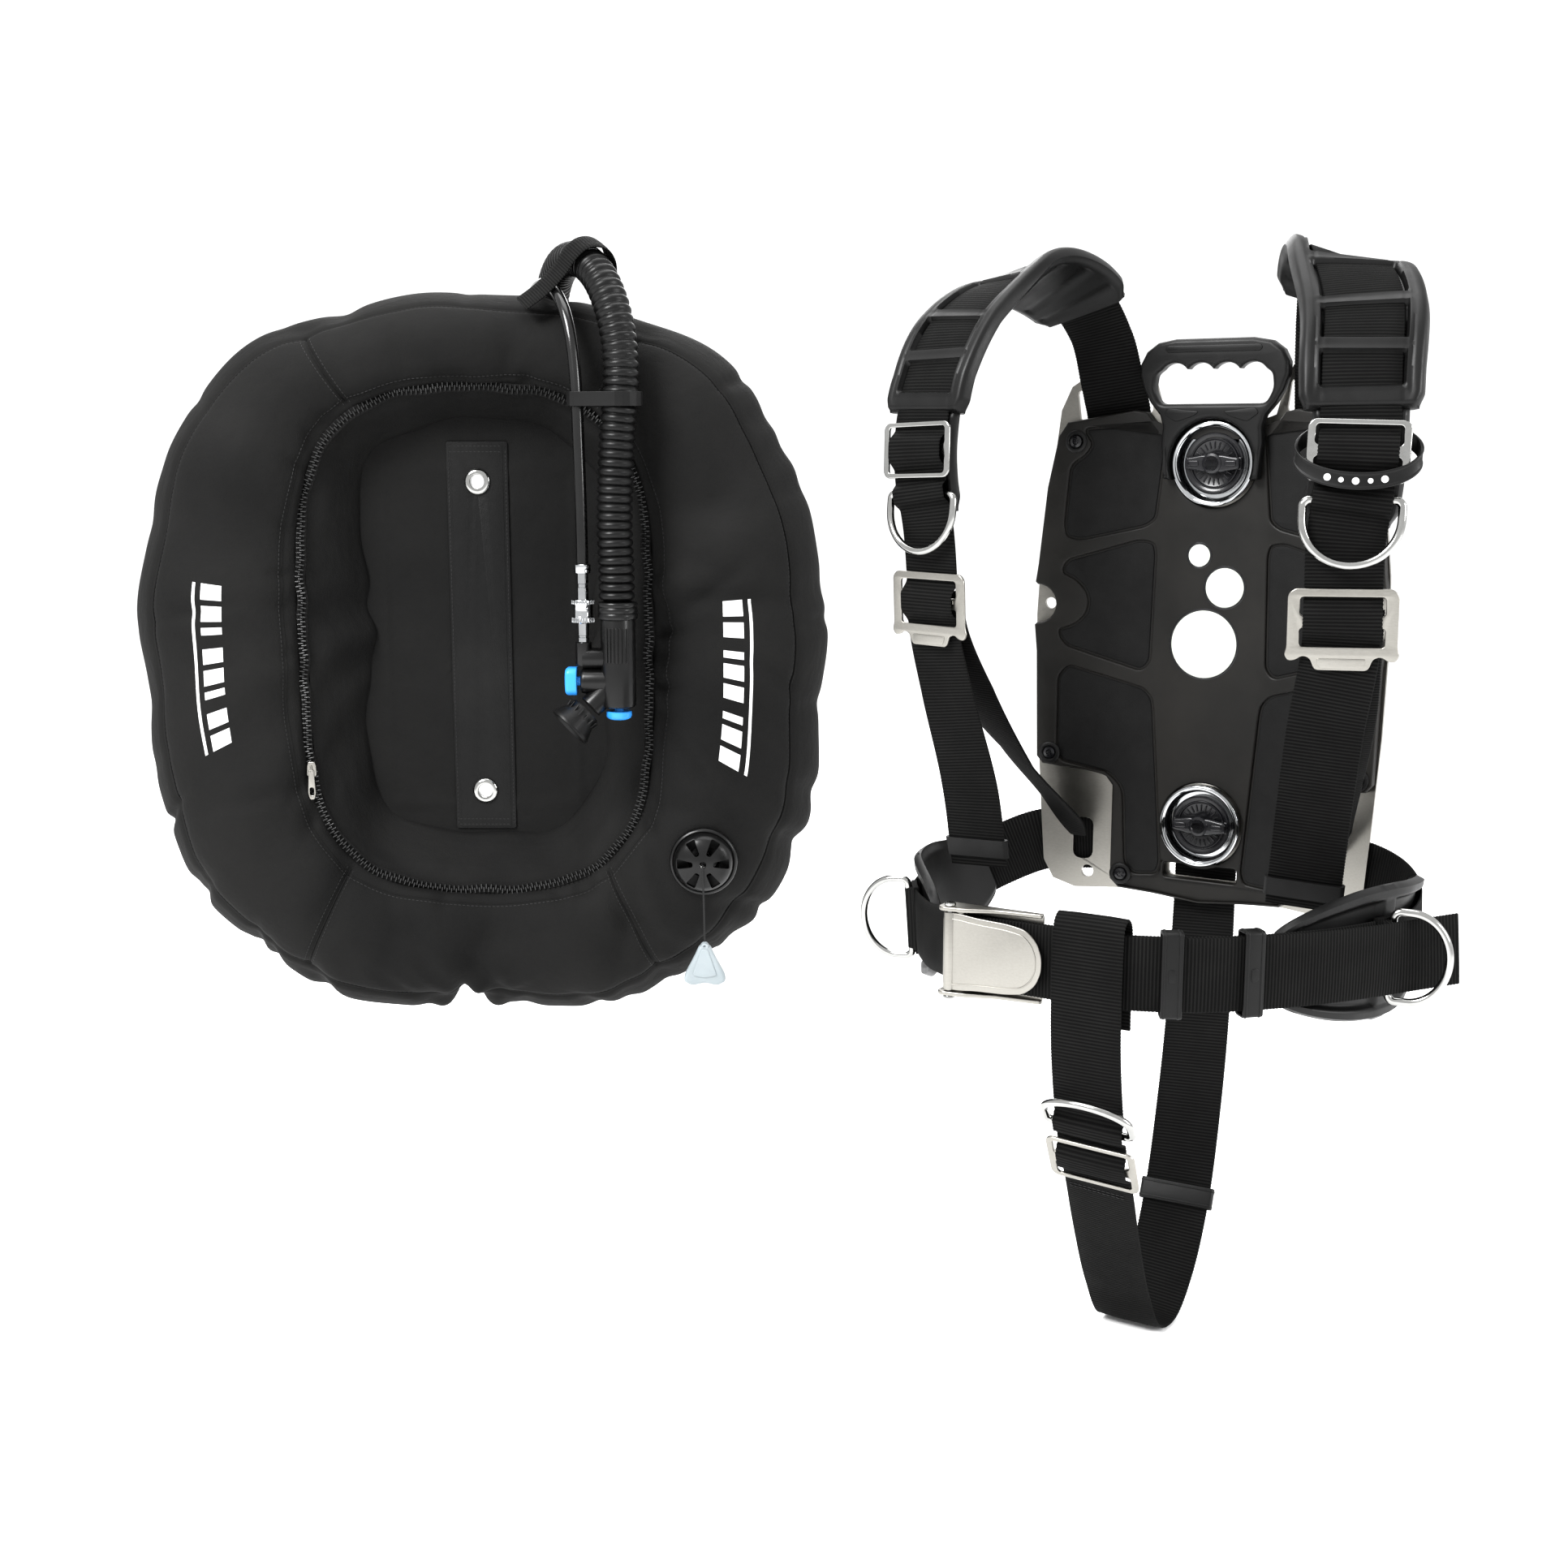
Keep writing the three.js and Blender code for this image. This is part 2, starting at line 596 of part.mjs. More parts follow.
const beltLeft = new Strap(BELT_LEFT);
const beltTail = new Strap(BELT_TAIL);
const beltRight = new Strap(BELT_RIGHT);
const leftBelt = sweep(rectangle(WEB, WEB_T), foldedBelt(beltLeft, beltTail));
piece(harness, 'waist_strap_left', leftBelt, 'webbing');
piece(harness, 'waist_strap_right', beltRight.ribbon(), 'webbing');
const leftPad = hipPad(beltLeft, beltLeft.near(176, -50, -175), beltLeft.near(133, -229, -186));
piece(harness, 'hip_pad_left', leftPad, 'rubber');
const rightPad = hipPad(beltRight, beltRight.near(-172, -45, -183), beltRight.near(-140, -198, -206));
piece(harness, 'hip_pad_right', rightPad, 'rubber');

const RING_LIFT = WEB_T / 2 + GAP + 2.75;
function hipRing(name, strap, s, drop) {
  const station = strap.at(s, 0);
  const ring = piece(harness, name, dRing(31, 38, 2.75), 'steel');
  const across = station.across.clone();
  const along = drop.addScaledVector(across, -across.dot(drop)).normalize();
  const at = station.at.addScaledVector(station.out, RING_LIFT + 0.1);
  placeOn(ring, { at, across, along, out: across.clone().cross(along) });
}
hipRing('hip_d_ring_left', beltLeft, beltLeft.near(182, -150, BELT_Z), vec(0.98, 0.2, 0));
hipRing('hip_d_ring_right', beltRight, beltRight.near(-178, -145, -208), vec(-0.98, -0.2, 0));

// Waist buckle: a steel frame with two ears, a pin and a lever that clamps the belt's tail.
const PIN = { x: -72, y: -298, r: 2 };
const BUCKLE = { left: -80, right: -8, back: -284.4, half: 31, ear: 2.8 };

function buckleFrame() {
  const { left, right, back, half, ear } = BUCKLE;
  const base = slab(moved(roundedBox(right - left, 2 * half, 3, 2), (left + right) / 2, BELT_Z), back, 2);
  const side = [[left, back], [right, back], [right, -289], [-58, -301], [-76, -303], [left, -300]];
  const upper = extrude(side, ear).translate(0, 0, BELT_Z + half - ear);
  const lower = extrude(side, ear).translate(0, 0, BELT_Z - half);
  const bore = rod(PIN.r + 0.2, 80, 20).rotateX(Math.PI / 2).translate(PIN.x, PIN.y, BELT_Z);
  return cut(join(base, upper, lower), bore);
}

function buckleLever() {
  const knuckle = rod(4, 54, 20).rotateX(Math.PI / 2);
  const plate = slab([
    [-4, -27], [8, -27], [20, -25], [48, -23.5], [60, -20], [67, -11], [69, 0], [67, 11], [60, 20],
    [48, 23.5], [20, 25], [8, 27], [-4, 27],
  ], -2.2, 1.6);
  const bore = rod(PIN.r + 0.2, 80, 20).rotateX(Math.PI / 2);
  return cut(join(knuckle, plate), bore);
}

piece(harness, 'waist_buckle_frame', buckleFrame(), 'steel');
const pin = piece(harness, 'waist_buckle_pin', rod(PIN.r, 65, 20).rotateX(Math.PI / 2), 'steel');
pin.position.set(PIN.x, PIN.y, BELT_Z);
piece(harness, 'waist_buckle_lever', buckleLever(), 'steel').position.set(PIN.x, PIN.y, BELT_Z);
for (const [i, x, y] of [[1, 77, -274], [2, 119, -243]]) {
  const station = beltLeft.at(beltLeft.near(x, y, BELT_Z), 0);
  placeOn(piece(harness, `belt_keeper_${i}`, keeper(58, 13, 14, 1.6), 'rubber'), station, LAYER / 2);
}

// Crotch strap: down behind the plate, forward between the legs, up and over the belt.
const CROTCH = [
  [0, 3.5, -149, 1, 0, 0], [0, 3.5, -196, 1, 0, 0], [2, -4, -238, 1, 0.05, 0],
  [7, -22, -292, 1, 0.1, 0],
  [13, -50, -350, 1, 0.15, 0], [18, -84, -415, 1, 0.15, 0], [18, -112, -462, 1, 0.1, 0],
  [16, -140, -489, 1, 0, 0], [14, -165, -486, 1, 0, 0], [12, -185, -455, 1, 0, 0],
  [17, -222, -398, 1, 0, 0],
  [23, -252, -352, 1, 0, 0], [26, -273, -318, 1, 0, 0], [28, -288, -280, 1, 0, 0],
  [28, -295.3, -235, 1, 0, 0],
  [28, -295.9, -170, 1, 0, 0], [28, -294, -155.5, 1, 0, 0], [28, -288, -151, 1, 0, 0],
  [28, -282, -155.5, 1, 0, 0],
  [28, -280.4, -170, 1, 0, 0], [28, -279.5, -228, 1, 0, 0],
];
const crotchProbe = new Strap(CROTCH);
const crotchSliderAt = crotchProbe.near(26, -270, -328);
const crotchRingAt = crotchSliderAt + 31;
const crotch = new Strap(CROTCH, [...weave(crotchSliderAt), ...over(crotchRingAt, 5.4)]);
piece(harness, 'crotch_strap', crotch.ribbon(), 'webbing');
const crotchSlider = piece(harness, 'crotch_slider', sliderShape(), 'steel');
placeOn(crotchSlider, crotch.at(crotchSliderAt, 0), FRAME_LIFT);
const crotchHang = crotch.at(crotchRingAt, 0);
crotchHang.along.addScaledVector(crotchHang.out, 0.3).normalize();
crotchHang.out = crotchHang.across.clone().cross(crotchHang.along);
placeOn(piece(harness, 'crotch_d_ring', dRing(31, 27, 2.75), 'steel'), crotchHang, 0.4);
const crotchKeeperAt = crotch.at(crotch.near(18, -84, -415), 0);
placeOn(piece(harness, 'crotch_keeper', keeper(56, 7.5, 16, 1.6), 'rubber'), crotchKeeperAt);

// ---- Wing ----
const wing = new THREE.Group();
wing.position.set(...WING_PLACE);

function onOval({ x, z, a, b, n, m }, angle) {
  const c = Math.cos(angle);
  const s = Math.sin(angle);
  let low = 0;
  let high = 2 * Math.max(a, b);
  for (let i = 0; i < 40; i += 1) {
    const r = (low + high) / 2;
    if (Math.abs((r * c) / a) ** n + Math.abs((r * s) / b) ** m < 1) {
      low = r;
    } else {
      high = r;
    }
  }
  return vec(x + low * c, 0, z + low * s);
}

// The air cell's frame at one angle: reach runs outwards from the zip line, and the cell is
// shallower where it is narrower.
const SIDE_REACH = 148;
function cellFrame(angle) {
  const zip = onOval(ZIP_LINE, angle);
  const rim = onOval(WING_OUT, angle);
  const across = rim.clone().sub(zip);
  const scale = across.length() / SIDE_REACH;
  across.normalize();
  return { at: zip, across, out: vec(0, 1, 0), scale, deep: 0.55 + 0.45 * Math.min(scale, 1) };
}

function cellStations(steps = WING_STEPS) {
  const stations = [];
  for (let i = 0; i < steps; i += 1) {
    stations.push(cellFrame((2 * Math.PI * i) / steps));
  }
  return stations;
}

// An open line of [reach, depth] points given a wall on its inner side.
function thicken(line, wall) {
  const inner = line.map(([x, y], i) => {
    const [px, py] = line[Math.max(i - 1, 0)];
    const [nx, ny] = line[Math.min(i + 1, line.length - 1)];
    const length = Math.hypot(nx - px, ny - py);
    return [x - (wall * (ny - py)) / length, y + (wall * (nx - px)) / length];
  });
  return [...line, ...inner.reverse()];
}

const CELL_LINE = [
  [4.5, -44], [18, -58], [40, -67], [75, -CELL_DEPTH], [110, -60], [134, -38], [SIDE_REACH, 0],
  [138, 36],
  [110, 60], [75, CELL_DEPTH], [30, 62], [-10, 40], [-44, 12], [-50, 3], [-42, -8], [-25, -24],
  [-4.5, -44],
];
const PANEL_REACH = -50;

function wingShell() {
  const shell = sweep(thicken(CELL_LINE, SHELL_T), cellStations(), true);
  const valveHole = rod(20, 40, 24).translate(VALVE.x, -CELL_DEPTH, VALVE.z);
  const elbowHole = rod(12, 40, 20).translate(ELBOW.x, 62, ELBOW.z);
  return cut(shell, valveHole, elbowHole);
}

function bladder() {
  const section = circle(1, 8).map(([a, o]) => [72 + 52 * a, 50 * o]);
  return sweep(section, cellStations(24), true);
}

const grommetHole = (end, radius) => moved(circle(radius, 20), 0, (end * HOLE_PITCH) / 2);

function centerPanel() {
  const edge = cellStations().map(({ at, across, scale }) => {
    const p = at.clone().addScaledVector(across, PANEL_REACH * scale - 1);
    return [p.x, p.z];
  });
  return slab(edge, 3, SHELL_T, [grommetHole(1, 10.6), grommetHole(-1, 10.6)]);
}

function grommet() {
  const profile = [
    [6, 5.5], [11.5, 5.5], [11.5, 3.4], [7.4, 3.4], [7.4, -0.8], [11.5, -0.8], [11.5, -2.4], [8, -3.4],
    [6, -2.4],
  ];
  return turned(profile, 20);
}

piece(wing, 'wing_shell', wingShell(), 'cloth');
piece(wing, 'air_bladder', bladder(), 'bladder');
piece(wing, 'center_panel', centerPanel(), 'cloth');
const strip = slab(roundedBox(55, 350, 2, 1), 1.2, 1.6, [grommetHole(1, 8), grommetHole(-1, 8)]);
piece(wing, 'grommet_strip', strip, 'webbing');
for (const [name, end] of [['upper', 1], ['lower', -1]]) {
  piece(wing, `${name}_grommet`, grommet(), 'steel').position.set(0, 0, (end * HOLE_PITCH) / 2);
}

// Zip round the cell's inner edge, with its slider on the right-hand side of the diver.
const ZIP_SLIDER_Z = -112;
function zipChain() {
  return sweep(rectangle(6.6, 2.4, ZIP_Y + 1.2), cellStations(), true);
}

function zipSlider() {
  const body = new THREE.BoxGeometry(9, 4.5, 14);
  const tab = new THREE.BoxGeometry(5, 1.6, 26).translate(0, -2.8, -14);
  return join(body, tab);
}
const sliderSpot = (() => {
  let angle = Math.PI;
  while (onOval(ZIP_LINE, angle).z > ZIP_SLIDER_Z) {
    angle += 0.005;
  }
  return onOval(ZIP_LINE, angle);
})();
piece(wing, 'zip_chain', zipChain(), 'plastic');
piece(wing, 'zip_slider', zipSlider(), 'steel').position.set(sliderSpot.x, ZIP_Y - 4.2, sliderSpot.z);

// Dump valve: slotted dome housing, poppet, spring, pull cord and knob.
function valveHousing() {
  return turned([
    [14, -54], [18, -54], [18, -71.5], [30, -71.5], [30, -76], [26.5, -83], [14, -89], [3, -90.5],
    [3, -88], [13, -86.5], [23, -81.5], [24, -75], [14, -73.5],
  ], 26);
}

function valvePoppet() {
  return join(rod(12.6, 3, 24).translate(0, -60, 0), rod(2, 22, 12).translate(0, -70, 0));
}

function valveSpring() {
  const turns = 4;
  const stations = [];
  for (let i = 0; i <= turns * 10; i += 1) {
    const angle = (2 * Math.PI * i) / 10;
    const out = vec(Math.cos(angle), 0, Math.sin(angle));
    const at = out.clone().multiplyScalar(7).add(vec(0, -62.6 - (16 * i) / (turns * 10), 0));
    stations.push({ at, across: vec(0, 1, 0), out });
  }
  return sweep(circle(0.6, 5), stations);
}

const CORD_ROUTE = [
  [0, -91.2, 0], [0, -92.6, -1.5], [0, -93.2, -5], [0.2, -93.3, -12], [0.5, -93.2, -24],
  [0.8, -93, -38],
  [1, -92.8, -52], [1.2, -92.6, -64], [1.3, -92.5, -70],
];
const PULL_TOP = -70.5;

function pullKnob() {
  const outline = [
    [-4, 0], [4, 0], [20, -30], [18, -37], [8, -38], [0, -36], [-8, -38], [-18, -37], [-20, -30],
  ];
  return slab(outline, 5, 10);
}

const valve = new THREE.Group();
valve.position.set(VALVE.x, 0, VALVE.z);
wing.add(valve);
piece(valve, 'dump_valve_housing', valveHousing(), 'plastic');
piece(valve, 'dump_valve_poppet', valvePoppet(), 'plastic');
piece(valve, 'dump_valve_spring', valveSpring(), 'steel');
piece(valve, 'dump_pull_cord', tube(CORD_ROUTE, CORD_R, 8, 20), 'webbing');
piece(valve, 'dump_pull_knob', pullKnob(), 'white').position.set(1.3, -92.5, PULL_TOP);

// Inflator: corrugated hose from the elbow at the back, over the top, down to the hand unit.
function hoseElbow() {
  const flange = rod(22, 3, 28).translate(0, 59.5, 0);
  const neck = rod(11, 26, 20).translate(0, 62, 0);
  const body = rod(15, 24, 24).translate(0, 72, 0);
  const riser = rod(14, 32, 24).rotateX(Math.PI / 2).translate(0, 76, 16);
  return join(flange, neck, body, riser);
}
const HOSE_ROUTE = [
  [130.5, -92, 42], [130.5, -92, 66], [129.5, -91.5, 100], [130.5, -90.5, 140], [133, -89, 184],
  [136, -87, 222],
  [135, -83, 254], [129, -75, 284], [119, -60, 308], [106, -38, 324], [93, -10, 331], [80, 20, 331],
  [69, 50, 322], [62, 70, 306], [60, 76, 290], [60, 76, 284.6],
];
const LP_ROUTE = [
  [QD_X, -92, 72.8], [QD_X, -92, 92], [101, -91.5, 130], [100, -90, 170], [99, -88, 206],
  [97, -84, 238],
  [93, -78, 266], [86, -66, 288], [77, -46, 302], [68, -22, 309], [59, 4, 310], [51, 30, 306],
  [44, 53, 293],
  [39, 69, 268], [36, 79, 234], [34, 85, 196], [33, 88, 150], [32, 89, 110], [32, 89, 78],
];

function inflatorBody() {
  const { x, y } = INFLATOR;
  const barrel = rod(15, 76, 24).rotateX(Math.PI / 2).translate(x, y, -12);
  const cuff = rod(17, 14, 24).rotateX(Math.PI / 2).translate(x, y, 33);
  const stub = rod(12.8, 8, 20).rotateX(Math.PI / 2).translate(x, y, 37.5);
  const arm = rod(9, 30, 20).rotateZ(Math.PI / 2).translate(x - 15, y, -8);
  const post = rod(7, 20, 20).rotateX(Math.PI / 2).translate(QD_X, y, -4);
  const button = rod(11, 26, 24).rotateZ(Math.PI / 2).translate(x - 19, y, -27.5);
  const mouth = rod(10.5, 34, 24).rotateZ(rad(-50)).rotateX(Math.PI / 2).translate(x - 12, y, -38);
  const powerBore = rod(STEM_R + 0.4, 12, 16).rotateZ(Math.PI / 2).translate(x - 32, y, -27.5);
  const oralBore = rod(STEM_R + 0.4, 12, 16).rotateX(Math.PI / 2).translate(x, y, -50);
  return cut(join(barrel, cuff, stub, arm, post, button, mouth), powerBore, oralBore);
}

// A button whose cap stands off the body by its travel, with a stem in the body's bore.
function pushButton(outline) {
  return join(slab(outline, 0, 7), rod(STEM_R, 6, 16).translate(0, 2.8, 0));
}

const BUTTON_STAND = BUTTON_TRAVEL + 0.4;
const MOUTH_AXIS = vec(-0.7, -0.25, -0.67).normalize();
function mouthpiece() {
  const profile = [[11, 0], [13.5, 0], [15, 8], [19.5, 18], [20, 21], [17.5, 21], [12.5, 9], [11, 8]];
  return turned(profile, 28);
}

const inflatorBase = inflatorBody();
piece(wing, 'hose_elbow', hoseElbow(), 'plastic').position.set(ELBOW.x, 0, ELBOW.z);
piece(wing, 'corrugated_hose', tube(HOSE_ROUTE, HOSE_R, 10, 28), 'rubber');
piece(wing, 'inflator_body', inflatorBase, 'plastic');
const mouth = piece(wing, 'mouthpiece', mouthpiece(), 'rubber');
mouth.quaternion.setFromUnitVectors(vec(0, 1, 0), MOUTH_AXIS);
mouth.position.set(103, -93.5, -53);
const power = piece(wing, 'power_button', pushButton(roundedBox(19, 22, 6, 3)), 'blue');
power.rotation.z = -Math.PI / 2;
power.position.set(INFLATOR.x - 32 - BUTTON_STAND, INFLATOR.y, -27.5);
const oral = piece(wing, 'oral_button', pushButton(circle(10, 20)), 'blue');
oral.rotation.x = Math.PI / 2;
oral.position.set(INFLATOR.x, INFLATOR.y, -50 - BUTTON_STAND);

// Low-pressure hose: quick-disconnect fitting and its sliding collar, hose, first-stage fitting.
function qdFitting() {
  return turned([[2, 0], [5, 0], [5, 58], [7.4, 59], [7.4, 66], [2, 66]], 20);
}
function qdCollar() {
  return turned([[5.4, 0], [9.5, 0], [9.5, 5], [8.6, 6], [8.6, 15], [9.5, 16], [9.5, 20], [5.4, 20]], 24);
}
const upright = (geometry) => geometry.rotateX(Math.PI / 2);
piece(wing, 'qd_fitting', upright(qdFitting()), 'chrome').position.set(QD_X, INFLATOR.y, 6.4);
piece(wing, 'qd_collar', upright(qdCollar()), 'chrome').position.set(QD_X, INFLATOR.y, 16);
piece(wing, 'lp_hose', tube(LP_ROUTE, LP_R, 8, 36), 'rubber');
const HOSE_END = [[2.5, 0], [6.5, 0], [6.5, 12], [8, 13], [8, 22], [4.7, 23], [4.7, 32], [2.5, 32]];
const hoseEnd = turned(HOSE_END, 20);
piece(wing, 'lp_hose_end', upright(hoseEnd).rotateX(Math.PI), 'chrome').position.set(32, 89, 77.6);

// A loop of webbing on the wing's top and a rubber tie hold the two hoses together.
const HOSE_LOOP = [
  [-62, -25], [-44, -15], [-26, 0], [-15.5, 12], [-6, 18.5], [5, 19], [14.5, 13.5], [19.5, 3],
  [19.5, -9], [17, -22],
];
function hoseLoop() {
  const route = new THREE.CatmullRomCurve3(HOSE_ROUTE.map((p) => vec(...p)), false, 'centripetal');
  const centre = vec(106, -38, 324);
  const ahead = route.getTangent(9 / (HOSE_ROUTE.length - 1)).normalize();
  const side = vec(1, 0, 0).addScaledVector(ahead, -ahead.x).normalize();
  const up = side.clone().cross(ahead);
  const points = HOSE_LOOP.map(([u, v]) => {
    const p = centre.clone().addScaledVector(side, u).addScaledVector(up, v);
    return [p.x, p.y, p.z, ahead.x, ahead.y, ahead.z];
  });
  return new Strap(points);
}
const loop = hoseLoop();
piece(wing, 'hose_strap_top', sweep(rectangle(28, 1.8), loop.stations(0, loop.length)), 'webbing');

function hoseTie() {
  const big = { x: 135.5, y: -87.6, r: 17.3 };
  const small = { x: 98.8, y: -87.8, r: 7 };
  const hull = (grow) => {
    const points = [];
    for (let i = 0; i <= 10; i += 1) {
      const angle = rad(-100 + 20 * i);
      points.push([big.x + (big.r + grow) * Math.cos(angle), big.y + (big.r + grow) * Math.sin(angle)]);
    }
    for (let i = 0; i <= 6; i += 1) {
      const angle = rad(100 + (160 * i) / 6);
      const reach = small.r + grow;
      points.push([small.x + reach * Math.cos(angle), small.y + reach * Math.sin(angle)]);
    }
    return points;
  };
  return extrude(hull(1.6), 12, [hull(0)]).translate(0, 0, 204);
}
piece(wing, 'hose_tie', hoseTie(), 'rubber');

const model = new THREE.Group();
model.add(harness, wing);

export default model;
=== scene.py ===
# Looks of a backplate-and-wing buoyancy compensator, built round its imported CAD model.
# Shapes are worked out in millimetres in the harness's or the wing's own frame and then placed
# in the row's frame, in metres. The harness faces -Y before it is turned about Z.
import math

import bmesh
import bpy
import numpy as np
from mathutils import Matrix, Vector
from mathutils.geometry import tessellate_polygon


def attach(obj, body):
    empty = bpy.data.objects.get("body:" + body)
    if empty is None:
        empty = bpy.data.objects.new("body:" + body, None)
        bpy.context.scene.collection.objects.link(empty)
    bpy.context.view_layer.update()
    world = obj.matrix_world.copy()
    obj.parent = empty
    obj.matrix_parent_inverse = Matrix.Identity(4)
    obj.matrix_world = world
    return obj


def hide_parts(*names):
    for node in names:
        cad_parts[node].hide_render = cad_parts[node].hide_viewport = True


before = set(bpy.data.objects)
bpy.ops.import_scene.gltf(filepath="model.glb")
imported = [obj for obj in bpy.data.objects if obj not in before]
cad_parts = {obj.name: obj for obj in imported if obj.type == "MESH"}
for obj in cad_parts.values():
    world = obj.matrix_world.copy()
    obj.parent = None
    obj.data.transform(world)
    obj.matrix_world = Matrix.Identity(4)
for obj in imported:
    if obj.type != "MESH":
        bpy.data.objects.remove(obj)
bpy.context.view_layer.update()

random = np.random.default_rng(7)

# ---- Dimensions shared with the CAD model, in millimetres ----
MM = 0.001
HARNESS = Matrix.Rotation(math.radians(-32), 4, "Z")
WING = Matrix.Translation((-605, 248.5, -18.8))
HOLE_PITCH = 279.4
BOLTS = (("upper", HOLE_PITCH / 2), ("lower", -HOLE_PITCH / 2))
WEB = 50
WEB_T = 2.5
RIB_PITCH = 2.4
WEB_STEP = RIB_PITCH / 4
PLATE_FLAT = 40
PLATE_FOLD = math.tan(math.radians(9))
BACK_GAP = -3.35                     # the cover's back face in front of the plate's
COVER_T = 8
BEZEL_R = 32.5
LAYER = 4
WEAVE = 7
FRAME_LIFT = 3.5
SLIDER_SLOT = 54
RING_HALF = 31
RING_WIRE = 2.75
RING_BELOW = 31                      # a D-ring's straight side, from its slider's middle bar
RING_LIFT = 5.4                      # webbing over a D-ring's straight side
VALVE = (202, -190)
ELBOW = (60, 252)
INFLATOR = (131, -92)
QD_X = 101.5
FLOOR_Z = -0.493
TAU = 2 * math.pi


# ---- Meshes from arrays ----
def unit(v):
    v = np.asarray(v, float)
    return v / np.maximum(np.linalg.norm(v, axis=-1, keepdims=True), 1e-12)


def run(points):
    """The distance along a line of points, at each of them."""
    return np.concatenate([[0], np.cumsum(np.linalg.norm(np.diff(points, axis=0), axis=1))])


def square(across, along):
    """Directions across, made square to the directions along."""
    return unit(across - along * np.einsum("ij,ij->i", across, along)[:, None])


def outward(verts, faces):
    """Turns every face round if the closed body's faces point inwards."""
    tris = np.array([(f[0], f[i], f[i + 1]) for f in faces for i in range(1, len(f) - 1)])
    a, b, c = (verts[tris[:, k]] for k in range(3))
    if np.einsum("ij,ij->i", a, np.cross(b, c)).sum() < 0:
        return [tuple(reversed(f)) for f in faces]
    return faces


def grid_faces(rows, cols, wrap_rows=False, wrap_cols=False):
    i = np.arange(rows if wrap_rows else rows - 1)
    j = np.arange(cols if wrap_cols else cols - 1)
    i, j = (a.ravel() for a in np.meshgrid(i, j, indexing="ij"))
    i2, j2 = (i + 1) % rows, (j + 1) % cols
    quads = np.stack([i * cols + j, i2 * cols + j, i2 * cols + j2, i * cols + j2], axis=1)
    return [tuple(q) for q in quads.tolist()]


def sheet_faces(rows, cols):
    """The faces of a thin body from two grids, the upper one first, and a rim between them."""
    size = rows * cols
    faces = grid_faces(rows, cols)
    faces += [tuple(size + i for i in reversed(f)) for f in grid_faces(rows, cols)]
    rim = [(i, 0) for i in range(rows)] + [(rows - 1, j) for j in range(1, cols)]
    rim += [(i, cols - 1) for i in range(rows - 2, -1, -1)]
    rim += [(0, j) for j in range(cols - 2, 0, -1)]
    rim = [i * cols + j for i, j in rim]
    faces += [(b, a, size + a, size + b) for a, b in zip(rim, rim[1:] + rim[:1])]
    return faces


def sweep(section, at, across, out, scale=1.0, deep=1.0, closed=False, along=None):
    """A closed body that carries a section of (across, out) along stations."""
    section = np.asarray(section, float)
    count = len(at)
    section = np.broadcast_to(section, (count,) + section.shape[-2:])
    x = section[..., 0] * np.broadcast_to(scale, count)[:, None]
    y = section[..., 1] * np.broadcast_to(deep, count)[:, None]
    verts = at[:, None] + across[:, None] * x[..., None] + out[:, None] * y[..., None]
    sides = section.shape[1]
    faces = grid_faces(count, sides, closed, True)
    if not closed:
        last = (count - 1) * sides
        faces.append(tuple(range(sides)))
        faces.append(tuple(last + k for k in reversed(range(sides))))
    verts = verts.reshape(-1, 3)
    along = run(at) if along is None else along
    lay = np.stack([x.ravel(), np.repeat(along, sides), y.ravel()], axis=1)
    return verts, outward(verts, faces), lay


def moved(body, matrix):
    verts, faces, lay = body
    m = np.array(matrix)
    verts = verts @ m[:3, :3].T + m[:3, 3]
    return verts, outward(verts, faces), lay


def shift(x, y, z):
    return Matrix.Translation((x, y, z))


def turn(axis, degrees):
    return Matrix.Rotation(math.radians(degrees), 4, axis)


def basis(across, along, out, at):
    """A matrix that puts X, Y and Z of a piece on three directions at a point."""
    m = np.identity(4)
    m[:3, 0], m[:3, 1], m[:3, 2], m[:3, 3] = across, along, out, at
    return Matrix(m.tolist())


def circle(radius, sides, start=0.0):
    a = start + TAU * np.arange(sides) / sides
    return np.stack([radius * np.cos(a), radius * np.sin(a)], axis=1)


def rounded(w, h, r, steps=6):
    points = []
    for sx, sy, start in ((1, 1, 0), (-1, 1, 90), (-1, -1, 180), (1, -1, 270)):
        for i in range(steps + 1):
            a = math.radians(start + 90 * i / steps)
            points.append((sx * (w / 2 - r) + r * math.cos(a), sy * (h / 2 - r) + r * math.sin(a)))
    return np.array(points)


def smooth_loop(points, radius=3.0, steps=5):
    """A closed outline whose corners are rounded by arcs of about the given radius."""
    points = np.asarray(points, float)
    result = []
    for i, p in enumerate(points):
        a, b = points[i - 1], points[(i + 1) % len(points)]
        da, db = np.linalg.norm(a - p), np.linalg.norm(b - p)
        cut = min(radius, da * 0.45, db * 0.45)
        start, end = p + (a - p) * cut / da, p + (b - p) * cut / db
        for k in range(steps + 1):
            t = k / steps
            result.append((1 - t) ** 2 * start + 2 * t * (1 - t) * p + t * t * end)
    return np.array(result)


def area(loop):
    x, y = loop[:, 0], loop[:, 1]
    return 0.5 * float(np.sum(x * np.roll(y, -1) - np.roll(x, -1) * y))


def ccw(loop):
    """The loop itself or its reverse, so that its inside lies on its left."""
    return loop if area(loop) > 0 else loop[::-1]


def inset(loop, distance):
    """Moves a loop to its left by a distance, with mitred corners."""
    before = unit(loop - np.roll(loop, 1, 0))
    after = unit(np.roll(loop, -1, 0) - loop)
    left = np.stack([-before[:, 1], before[:, 0]], axis=1)
    middle = unit(left + np.stack([-after[:, 1], after[:, 0]], axis=1))
    reach = np.maximum(np.einsum("ij,ij->i", middle, left), 0.5)
    return loop + middle * (distance / reach)[:, None]


